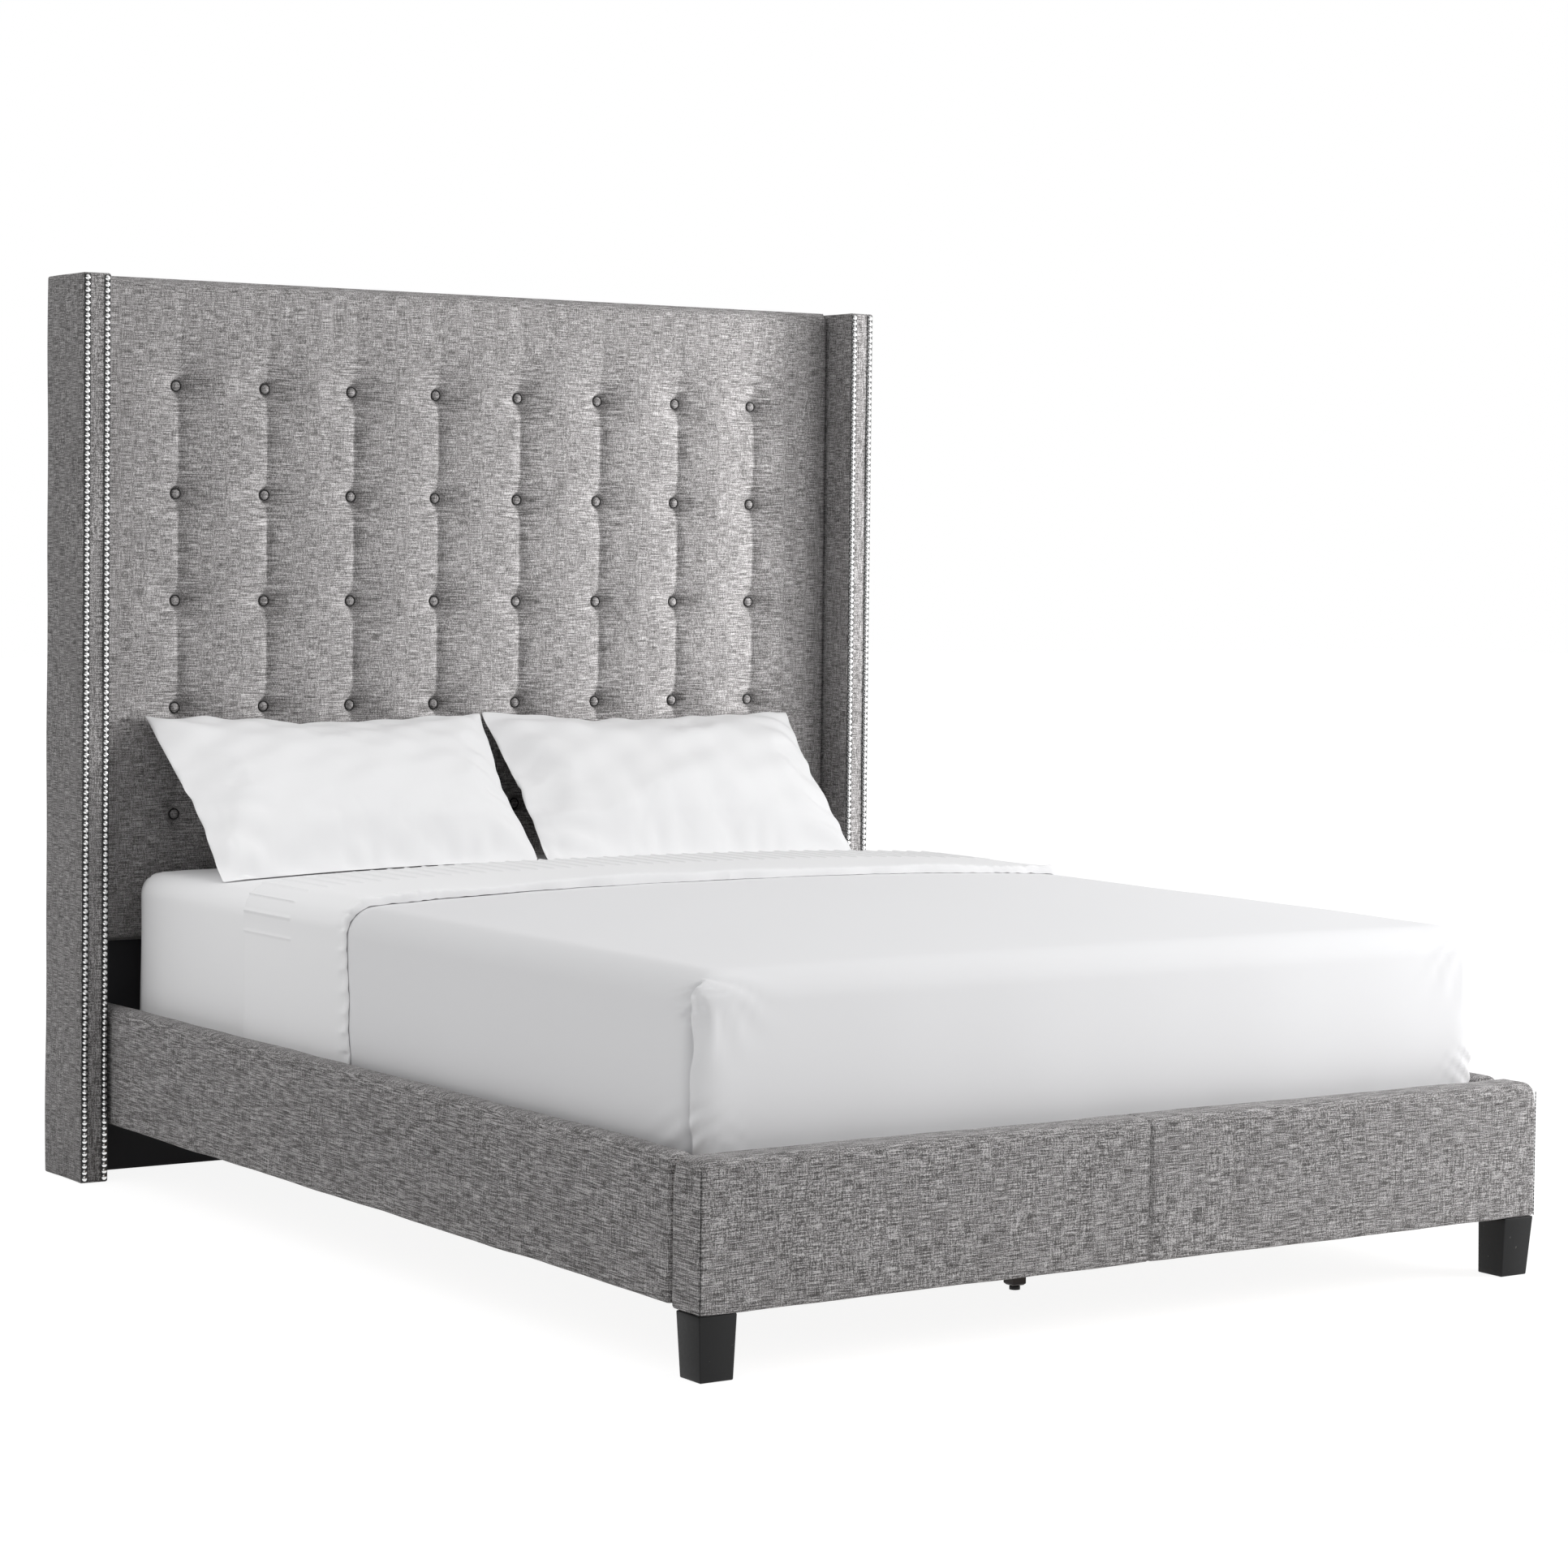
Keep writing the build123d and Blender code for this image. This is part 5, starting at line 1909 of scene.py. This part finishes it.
    def build(self) -> Piece:
        """Builds the cloth from a grid and lays its corner folds.

        Returns:
            The piece.
        """
        form = self.form
        half_x = form.half_width + self.growth
        foot = form.middle - form.half_length - self.growth
        across = eased_places(-half_x, half_x, self.fine, self.coarse)
        along = eased_places(foot, 2 * self.head - foot, self.fine, self.coarse)
        along = np.append(along[along < self.head - self.head_room], self.head)
        hanging = [True, True, True, False]
        piece = draped_grid("coverlet_cloth", len(across) - 1, len(along) - 1, self.down, hanging)
        of_foot = self.split_corners(piece)
        grid = middles(piece)
        x, y = stretched(grid[:, 0], across), stretched(grid[:, 1], along)
        down = -grid[:, 2] * (form.edge_z + self.growth - self.hem)
        points, outward = form.surface(x, y, down, self.growth)
        hang = np.clip(-grid[:, 2] / self.hang_reach, 0, 1)
        hang = hang * hang * (3 - 2 * hang)
        tight, tight_out = replace(form, corner_radius=self.flap_radius).surface(x, y, down, self.growth)
        points += np.where(of_foot, hang, 0)[:, None] * (tight - points)
        outward += np.where(of_foot, hang, 0)[:, None] * (tight_out - outward)
        swell = self.folds(points, outward)
        reshape(piece, points + outward * swell[:, None] + self.corner_laps(points, hang, of_foot))
        thicken(piece, self.cloth)
        settle(piece, COVERLET_COTTON, MATTRESS_BODY, "coverlet", smooth_below=60)
        return piece


@dataclass
class TurnedDownSheet:
    """Flat sheet turned down over the coverlet: pintucks by its rear edge and a soft rolled front edge."""

    form: BeddingForm
    growth: float = 0.0080
    cloth: float = 0.0028
    front: float = 0.099
    rear: float = 0.494
    hem: float = 0.286
    tucked: float = 0.190
    tuck_pitch: float = 0.035
    tuck_height: float = 0.0027
    tuck_width: float = 0.0016
    tuck_fade: float = 0.085
    tuck_fade_reach: float = 0.03
    tuck_sides: tuple[float, ...] = (-0.0060, -0.0026, -0.0009, 0.0009, 0.0026, 0.0060)
    tuck_room: float = 0.0015
    puff: float = 0.0152
    roll: float = 0.0070
    rear_roll: float = 0.012
    plump: float = 0.92
    settle_start: float = 0.022
    settle_reach: float = 0.075
    slip: float = 0.016
    sway: float = 0.0022
    unevenness: float = 0.0030
    waves: tuple[float, float] = (0.30, 0.13)
    seed: int = 61
    stitch_line: float = 0.0185
    stitch_width: float = 0.0045
    stitch_side: float = 0.0012
    stitch_top: float = 0.0016
    ruffle: float = 0.0020
    ruffle_pitch: float = 0.031
    ruffle_place: float = 0.010
    ruffle_reach: float = 0.017
    edge_in: float = 0.06
    edge_reach: float = 0.20
    side_room: float = 0.0042
    side_room_above: float = 0.006
    rail_top: float = 0.328
    rail_reach: float = 0.05

    def tuck_lines(self, low: float, high: float) -> Points:
        """Places lines along both sides of each tuck and midway between the tucks.

        Args:
            low: Start of the stretch, measured round the bed from its middle.
            high: End of the stretch.

        Returns:
            The places, in order.
        """
        beside = np.array([*self.tuck_sides, self.tuck_pitch / 2])
        tucks = np.arange(np.ceil(low / self.tuck_pitch) - 1, high / self.tuck_pitch + 1) * self.tuck_pitch
        lines = (tucks[:, None] + beside).ravel()
        lines = lines[(lines > low + self.tuck_room) & (lines < high - self.tuck_room)]
        return np.concatenate([[low], np.sort(lines), [high]])

    def rows(self) -> Points:
        """Places rows closely over the rolled front edge and where the tucks start.

        Returns:
            The places, from the front to the rear.
        """
        steps = np.array([0, 0.6, 1.5, 2.8, 4.5, 6.5, 9, 12, 16, 21, 27, 34, 42, 51, 61, 72, 84]) / 1000
        start = self.rear - self.tucked
        plain = np.arange(self.front + 0.096, start - 0.008, 0.012)
        edge = start + np.array([-0.004, -0.001, 0.002, 0.006])
        tucked = np.linspace(start + 0.016, self.rear - 0.016, 12)
        end = self.rear - np.array([0.011, 0.007, 0.004, 0.0015, 0])
        return np.concatenate([self.front + steps, plain, edge, tucked, end])

    def fullness(self, points: Points, on_top: Points, y: Points) -> Points:
        """How high the band puffs up between its rolled front edge and its rear.

        Args:
            points: Points on the form.
            on_top: 1 on the top and 0 at the sides.
            y: Places along on the flat band.

        Returns:
            The height at each point.
        """
        behind = y - self.front
        rounding = np.sqrt(np.clip(1 - (1 - np.clip(behind / self.roll, 0, 1)) ** 2, 0, 1))
        before_rear = np.clip((self.rear - y) / self.rear_roll, 0, 1)
        rounding *= np.sqrt(np.clip(1 - (1 - before_rear) ** 2, 0, 1))
        settling = np.exp(-np.clip(behind - self.settle_start, 0, None) / self.settle_reach)
        height = self.puff * (0.30 + 0.70 * on_top) * rounding * (self.plump + (1 - self.plump) * settling)
        uneven = ripple(points * np.array([1, 0.5, 1]), self.waves, self.seed)
        height += self.unevenness * uneven * settling * rounding * on_top
        return height - (self.stitch_side + self.stitch_top * on_top) * bell(
            behind - self.stitch_line, self.stitch_width
        )

    def trim(self, points: Points, y: Points, drop: Points) -> Points:
        """How high the pintucks and the ruffle of the front edge rise.

        Args:
            points: Points on the form.
            y: Places along on the flat band.
            drop: How far each point lies from the middle, measured round the bed.

        Returns:
            The height at each point.
        """
        half_x = self.form.half_width + self.growth
        behind = y - self.front
        beside = (drop + self.tuck_pitch / 2) % self.tuck_pitch - self.tuck_pitch / 2
        in_tucks = np.clip((y - (self.rear - self.tucked)) / 0.003, 0, 1)
        fading = np.clip((half_x + self.tuck_fade - drop) / self.tuck_fade_reach, 0, 1)
        tucks = self.tuck_height * bell(beside, self.tuck_width) * in_tucks * fading
        wave = np.sin(drop * 2 * pi / self.ruffle_pitch + np.sin(drop * 31) * 1.6 - behind * 60)
        by_edge = bell(np.abs(points[:, 0]) - half_x + self.edge_in, self.edge_reach)
        near_front = bell(behind - self.ruffle_place, self.ruffle_reach)
        return tucks + self.ruffle * wave * near_front * (0.25 + 0.75 * by_edge)

    def build(self) -> Piece:
        """Builds the band across the bed and raises its tucks.

        Returns:
            The piece.
        """
        form = self.form
        half_x = form.half_width + self.growth
        depth = form.edge_z + self.growth - self.hem
        across = self.tuck_lines(-half_x, half_x)
        downwards = self.tuck_lines(half_x, half_x + depth) - half_x
        along = self.rows()
        counts = (len(across) - 1, len(along) - 1, len(downwards) - 1)
        piece = draped_grid("flat_sheet_band", *counts, [True, True, False, False])
        grid = middles(piece)
        x, y = stretched(grid[:, 0], across), stretched(grid[:, 1], along)
        down = stretched(-grid[:, 2], downwards)
        share = (y - self.front) / (self.rear - self.front)
        points, outward = form.surface(x, y, down, self.growth)
        drop = np.abs(x) + down
        on_top = np.clip(outward[:, 2], 0, 1)
        points[:, 1] -= self.slip * np.clip(down / 0.29, 0, 1) * (1 - share)
        points[:, 1] += self.sway * np.sin(drop * 47 + np.sin(drop * 19)) * bell(share, 0.12)
        height = self.fullness(points, on_top, y) + self.trim(points, y, drop)
        over_rail = np.clip((points[:, 2] - self.rail_top) / self.rail_reach, 0, 1)
        room = self.side_room + self.side_room_above * over_rail
        height = np.clip(height, 0, np.where(on_top < 0.4, room, 1.0))
        reshape(piece, points + outward * height[:, None])
        thicken(piece, self.cloth)
        settle(piece, SHEET_COTTON, MATTRESS_BODY, "flat_sheet", smooth_below=60)
        return piece


@dataclass
class Pillow:
    """One pillow in its case, leaning on the headboard."""

    side: Side
    form: BeddingForm
    lower_left: Place
    lower_right: Place
    upper_left: Place
    upper_right: Place
    seed: int
    width: float = 0.76
    height: float = 0.48
    thickness: float = 0.150
    sewn: float = 0.008
    unevenness: float = 0.0015
    waves: tuple[float, float] = (0.2, 0.08)
    faces: tuple[int, int] = (84, 52)
    frames: int = 24
    pressure: float = 3.2
    mass: float = 0.25
    stiffness: float = 20
    shear: float = 8
    bending: float = 0.9
    quality: int = 5
    draw: float = 0.17
    taper: float = 0.22
    gather: float = 0.0022
    crease: float = 0.0042
    dents: float = 1.3
    dent_waves: tuple[float, float] = (0.55, 0.24)
    sag: float = 0.009
    base_lift: float = 0.005
    lie: float = 0.0030
    ease: float = 0.003
    pad_gap: float = 0.005

    def fill(self, piece: Piece) -> None:
        """Blows the sewn case up by a cloth simulation with pressure.

        Args:
            piece: The sewn case.
        """
        cloth = piece.modifiers.new("filling", "CLOTH")
        settings = cloth.settings
        settings.use_pressure = True
        settings.uniform_pressure_force = self.pressure
        settings.effector_weights.gravity = 0
        settings.mass = self.mass
        settings.tension_stiffness = self.stiffness
        settings.compression_stiffness = self.stiffness
        settings.shear_stiffness = self.shear
        settings.bending_stiffness = self.bending
        settings.quality = self.quality
        cloth.collision_settings.use_collision = False
        cloth.point_cache.frame_end = self.frames
        for number in range(1, self.frames + 1):
            bpy.context.scene.frame_set(number)
        apply_modifiers(piece)
        bpy.context.scene.frame_set(1)

    def stuffed(self) -> tuple[Piece, Points]:
        """Sews two sheets of cloth together and fills them by a cloth simulation.

        Returns:
            The filled case, lying flat about the origin, and where its points lay before they were filled,
            from -1 to 1 across and up.
        """
        piece = add_grid(f"pillow_{self.side.word}_case", *self.faces, 1.0)
        grid = middles(piece)
        grid[:, 0] *= self.width
        grid[:, 1] *= self.height
        grid[:, 2] += self.unevenness * ripple(grid, self.waves, self.seed)
        reshape(piece, grid)
        thicken(piece, self.sewn, 0.0)
        points = middles(piece)
        rest = points[:, :2] / np.abs(points[:, :2]).max(axis=0)
        self.fill(piece)
        return piece, rest

    def relief(self, u: Points, v: Points) -> Points:
        """How high the creases and dents of the front rise.

        Args:
            u: Places across, from -1 to 1.
            v: Places up, from -1 to 1.

        Returns:
            The rise at each place.
        """
        right, up = (1 + u) / 2, (1 + v) / 2
        gather = np.sin(u * 31 + 2 * np.sin(u * 9 + self.seed)) * bell(up - 0.09, 0.07)
        creases = np.sin(v * 17 + u * 11 + 2 * np.sin(v * 4 + self.seed))
        creases = creases * (bell(right - 0.10, 0.09) + bell(0.93 - right, 0.07))
        dents = ripple(np.column_stack([u, v, v * 0]), self.dent_waves, self.seed + 5)
        return self.gather * gather + self.crease * (creases + self.dents * dents)

    def lean(self, piece: Piece, rest: Points) -> None:
        """Stretches the filled case between its four corners and lets it rest on what carries it.

        Args:
            piece: The filled case.
            rest: Where its points lay before they were filled.
        """
        points = middles(piece)
        drawn = points[:, :2] / np.abs(points[:, :2]).max(axis=0)
        u, v = (rest * (1 - self.draw) + drawn * self.draw).T
        right, up = (1 + u) / 2, (1 + v) / 2
        places = (self.lower_left, self.lower_right, self.upper_left, self.upper_right)
        low_left, low_right, high_left, high_right = (np.array(place) for place in places)
        lower = low_left + (low_right - low_left) * right[:, None]
        lower[:, 2] = self.form.top_at(lower[:, 0], lower[:, 1], self.base_lift)
        upper = high_left + (high_right - high_left) * right[:, None]
        middle = lower + (upper - lower) * up[:, None]
        front = np.cross(high_right - high_left, high_left + high_right - low_left - low_right)
        front /= np.linalg.norm(front)
        full = points[:, 2] / np.abs(points[:, 2]).max() * self.thickness / 2
        full *= np.sqrt(np.clip(up / self.taper, 0, 1))
        full += self.relief(u, v) * (points[:, 2] > 0)
        sag = self.sag * (1 - u**2) * np.clip(up, 0, 1) ** 3
        placed = middle + front * full[:, None]
        placed[:, 2] -= sag * (0.8 + 0.3 * np.sin(u * 5 + self.seed))
        border = np.flatnonzero(rest[:, 1] < -0.99)
        border = border[np.argsort(u[border])]
        bed = self.form.top_at(placed[border, 0], placed[border, 1], self.lie)
        gap = np.interp(u, u[border], placed[border, 2] - bed)
        placed[:, 2] -= gap * (1 - up) ** 3
        under = self.form.top_at(placed[:, 0], placed[:, 1], self.lie) - placed[:, 2]
        near = np.clip((under + self.ease) / (2 * self.ease), 0, 1)
        placed[:, 2] += np.where(under < self.ease, self.ease * near**2, under)
        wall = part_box("headboard_pad")[0][1] - self.pad_gap
        placed[:, 1] = np.minimum(placed[:, 1], wall)
        reshape(piece, placed)

    def build(self) -> Piece:
        """Builds and dresses the pillow.

        Returns:
            The pillow.
        """
        piece, rest = self.stuffed()
        self.lean(piece, rest)
        smoother = piece.modifiers.new("rounding", "SUBSURF")
        smoother.levels = 1
        smoother.render_levels = 1
        apply_modifiers(piece)
        face_outwards(piece)
        settle(piece, PILLOW_COTTON, f"{self.side.word}_pillow", f"pillow_{self.side.word}", smooth_below=60)
        return piece


# Base of the bed


def both_sides(name: str) -> list[str]:
    """The names of a node that is there on the left and on the right."""
    return [f"{name}_{side.word}" for side in Side]


def along_beam(name: str) -> list[str]:
    """The names of a node that is there at each of the three centre legs."""
    return [f"{name}_{place}" for place in ("front", "middle", "rear")]


@dataclass
class HiddenFrame:
    """Timber, steel and fasteners whose solids stay as they are and get their finish."""

    def build(self) -> None:
        """Dresses the solids by what they are made of."""
        rails = [f"headboard_{place}_rail" for place in ("top", "middle", "lower", "bottom")]
        brackets = both_sides("corner_bracket_foot") + both_sides("corner_bracket_head")
        screws = ["wing_bolts", "bracket_bolts", "saddle_screws", "leg_hanger_bolts"]
        finishes = {
            TIMBER_ALONG_X: [*rails, "footboard_board"],
            TIMBER_ALONG_Y: [*both_sides("side_rail_board"), *both_sides("slat_ledge"), "centre_beam"],
            TIMBER_ALONG_Z: both_sides("headboard_stile") + both_sides("wing_core"),
            PLYWOOD: ["headboard_face_board"],
            SLAT_TIMBER: ["bed_slats"],
            DARK_LEG: along_beam("centre_leg"),
            BLACK_CLOTH: ["headboard_lower_panel"],
            BLACK_STEEL: [*brackets, "beam_saddle_foot", "beam_saddle_head"],
            ZINC: screws + along_beam("leveller_stud"),
            GLIDE: along_beam("leveller_pad"),
        }
        for finish, nodes in finishes.items():
            for node in nodes:
                finish.dress(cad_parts[node])
            log.info("%s on %d nodes", finish.name, len(nodes))


@dataclass
class SlatWebbing:
    """Two woven tapes stapled under the slats, slack between them."""

    width: float = 0.025
    cloth: float = 0.001
    sag: float = 0.0009
    slats: int = 14
    end: float = 0.034
    faces_across: int = 4
    faces_per_slat: int = 8

    def build(self) -> None:
        """Builds each tape from a strip that hangs a little between the slats."""
        low, high = corners("slat_webbing")
        pitch = (high[1] - low[1] - 2 * self.end) / (self.slats - 1)
        tapes = []
        for start in (low[0], high[0] - self.width):
            tape = add_grid("tape", self.faces_across, self.slats * self.faces_per_slat)
            grid = middles(tape)
            x = start + self.width / 2 + grid[:, 0] * self.width / 2
            y = (low[1] + high[1]) / 2 + grid[:, 1] * (high[1] - low[1]) / 2
            hang = self.sag * (0.5 - 0.5 * np.cos(2 * pi * (y - low[1] - self.end) / pitch))
            reshape(tape, np.column_stack([x, y, high[2] - hang]))
            thicken(tape, self.cloth)
            tapes.append(tape)
        settle(join("webbing_tapes", tapes), WEBBING, FRAME_BODY, "slat_webbing")


# Studio


@dataclass
class Studio:
    """Plain pale floor, soft light from above, a key light, lamps for a few pieces alone, and the camera."""

    eye: Place = (-3.75499, -5.73642, 1.20340)
    right: Place = (0.82349661, -0.56718768, 0.01230733)
    down: Place = (-0.01393193, -0.04190538, -0.99902444)
    lens: float = 88.50
    sensor: float = 36
    shift: tuple[float, float] = (-0.04533, -0.04725)
    far: float = 100
    sky_low: float = 0.06
    sky_high: float = 1.14
    key: LampSetting = ((3.1, -2.6, 1.7), (0.0, 0.4, 0.7), 1.9, 84)
    rake: LampSetting = ((2.9, -0.3, 1.15), (0.0, 2.1, 1.15), 0.9, 116)
    sheet_fill: LampSetting = ((-1.9, 0.5, 1.6), (-0.5, 0.6, 0.6), 0.9, 6.0)
    cover_fill: LampSetting = ((-3.0, -0.2, 0.45), (-0.77, -0.1, 0.45), 0.9, 3.2)
    floor_size: float = 60
    floor_drop: float = 0.0004
    floor_glow: float = 1.20
    floor_share: float = 0.75

    def floor(self) -> None:
        """Lays a pale floor that keeps the bed's shadow but looks white beyond it."""
        clear_selection()
        bpy.ops.mesh.primitive_plane_add(size=self.floor_size, location=(0, 0, -self.floor_drop))
        ground = named("floor")
        finish = bpy.data.materials.new("pale_floor")
        finish.use_nodes = True
        finish.node_tree.nodes.clear()
        work = Tree(finish.node_tree)
        seen = work.add("ShaderNodeLightPath").outputs
        direct = work.maths("MAXIMUM", seen["Is Camera Ray"], seen["Is Glossy Ray"])
        matt = work.add("ShaderNodeBsdfDiffuse", {"Color": grey(0.90)})
        glow = work.add("ShaderNodeEmission", {"Color": grey(1.0), "Strength": self.floor_glow})
        share = work.maths("MULTIPLY", direct, self.floor_share)
        mixed = work.add("ShaderNodeMixShader", {0: share, 1: matt.outputs[0], 2: glow.outputs[0]})
        work.add("ShaderNodeOutputMaterial", {"Surface": mixed.outputs[0]})
        ground.data.materials.append(finish)

    def lights(self) -> None:
        """Sets a sky that is brightest overhead and a large soft key light at the right of the foot."""
        world = bpy.context.scene.world or bpy.data.worlds.new("studio")
        bpy.context.scene.world = world
        world.use_nodes = True
        world.node_tree.nodes.clear()
        work = Tree(world.node_tree)
        seen = work.add("ShaderNodeLightPath").outputs
        direct = work.maths("MAXIMUM", seen["Is Camera Ray"], seen["Is Glossy Ray"])
        way = work.split(work.add("ShaderNodeTexCoord").outputs["Generated"])
        reflected = work.spread(work.maths("ADD", way[0], way[2]), -0.5, 1.1)
        bright = work.maths("MAXIMUM", work.maths("MULTIPLY", reflected, 1.1), seen["Is Camera Ray"])
        height = work.maths("MAXIMUM", way[2], 0.0)
        rise = work.maths("MULTIPLY", height, self.sky_high - self.sky_low)
        sky = work.maths("ADD", rise, self.sky_low)
        lit = work.add("ShaderNodeBackground", {"Color": grey(1.0), "Strength": sky})
        shown = work.add("ShaderNodeBackground", {"Color": grey(1.0), "Strength": bright})
        mixed = work.add("ShaderNodeMixShader", {0: direct, 1: lit.outputs[0], 2: shown.outputs[0]})
        work.add("ShaderNodeOutputWorld", {"Surface": mixed.outputs[0]})
        self.lamp("key_light", *self.key)

    def lamp(self, name: str, place: Place, aim: Place, size: float, power: float) -> Piece:
        """Adds a round lamp that the camera doesn't see.

        Args:
            name: Name of the lamp.
            place: Where it stands.
            aim: Where it points.
            size: Diameter of the lamp.
            power: Its power in watts.

        Returns:
            The lamp.
        """
        clear_selection()
        bpy.ops.object.light_add(type="AREA", location=place)
        lamp = bpy.context.active_object
        lamp.name = name
        lamp.data.shape = "DISK"
        lamp.data.size = size
        lamp.data.energy = power
        lamp.visible_camera = False
        lamp.rotation_mode = "QUATERNION"
        lamp.rotation_quaternion = (Vector(place) - Vector(aim)).to_track_quat("Z", "Y")
        return lamp

    def light_only(self, name: str, setting: LampSetting, pieces: Iterable[Piece]) -> None:
        """Adds a lamp that lights a few pieces alone.

        Args:
            name: Name of the lamp.
            setting: Its place, aim, size and power.
            pieces: The pieces that it lights.
        """
        lamp = self.lamp(name, *setting)
        lit = bpy.data.collections.new(f"lit_by_{name}")
        for piece in pieces:
            lit.objects.link(piece)
        lamp.light_linking.receiver_collection = lit

    def camera(self) -> None:
        """Sets the camera at the place and angle of the photograph."""
        clear_selection()
        bpy.ops.object.camera_add()
        camera = bpy.context.active_object
        camera.name = "photo_camera"
        x = Vector(self.right).normalized()
        y = -Vector(self.down)
        y = (y - x * y.dot(x)).normalized()
        turn = Matrix((x, y, x.cross(y))).transposed().to_4x4()
        camera.matrix_world = Matrix.Translation(self.eye) @ turn
        camera.data.sensor_width = self.sensor
        camera.data.lens = self.lens
        camera.data.shift_x, camera.data.shift_y = self.shift
        camera.data.clip_end = self.far
        bpy.context.scene.camera = camera

    def build(self) -> None:
        """Sets up the studio."""
        self.floor()
        self.lights()
        self.camera()
        bpy.context.scene.view_settings.view_transform = "Standard"
        log.info("studio set")


# Radii of the mattress's corners under the fitted sheet and under the coverlet.
SHEET_CORNER = 0.090
COVERLET_CORNER = 0.046
# Corners of each pillow: lower left, lower right, upper left and upper right.
PILLOWS = {
    Side.LEFT: (
        (-0.726, 0.676, 0.570),
        (-0.066, 0.676, 0.606),
        (-0.731, 1.016, 0.868),
        (-0.009, 1.016, 0.861),
    ),
    Side.RIGHT: (
        (-0.046, 0.676, 0.606),
        (0.669, 0.676, 0.602),
        (-0.007, 1.016, 0.863),
        (0.724, 1.016, 0.854),
    ),
}
PILLOW_SEED = 8


def main() -> None:
    """Builds the bed piece by piece."""
    logging.basicConfig(level=logging.INFO, format="%(message)s")
    studio = Studio()
    studio.build()
    headboard = TuftedPad().build()
    for side in Side:
        headboard += Wing(side).build()
        SideRail(side).build()
        FrontLeg(side).build()
    studio.light_only("rake_light", studio.rake, headboard)
    DustCover().build()
    Footboard().build()
    HiddenFrame().build()
    SlatWebbing().build()
    form = BeddingForm()
    inner_form = replace(form, corner_radius=SHEET_CORNER)
    Mattress(inner_form).build()
    whites = [FittedSheet(inner_form).build()]
    coverlet = Coverlet(replace(form, corner_radius=COVERLET_CORNER)).build()
    studio.light_only("cover_fill", studio.cover_fill, [coverlet])
    whites.append(TurnedDownSheet(form).build())
    for side, places in PILLOWS.items():
        whites.append(Pillow(side, form, *places, seed=PILLOW_SEED + side.value).build())
    studio.light_only("sheet_fill", studio.sheet_fill, whites)


if __name__ == "__main__":
    main()
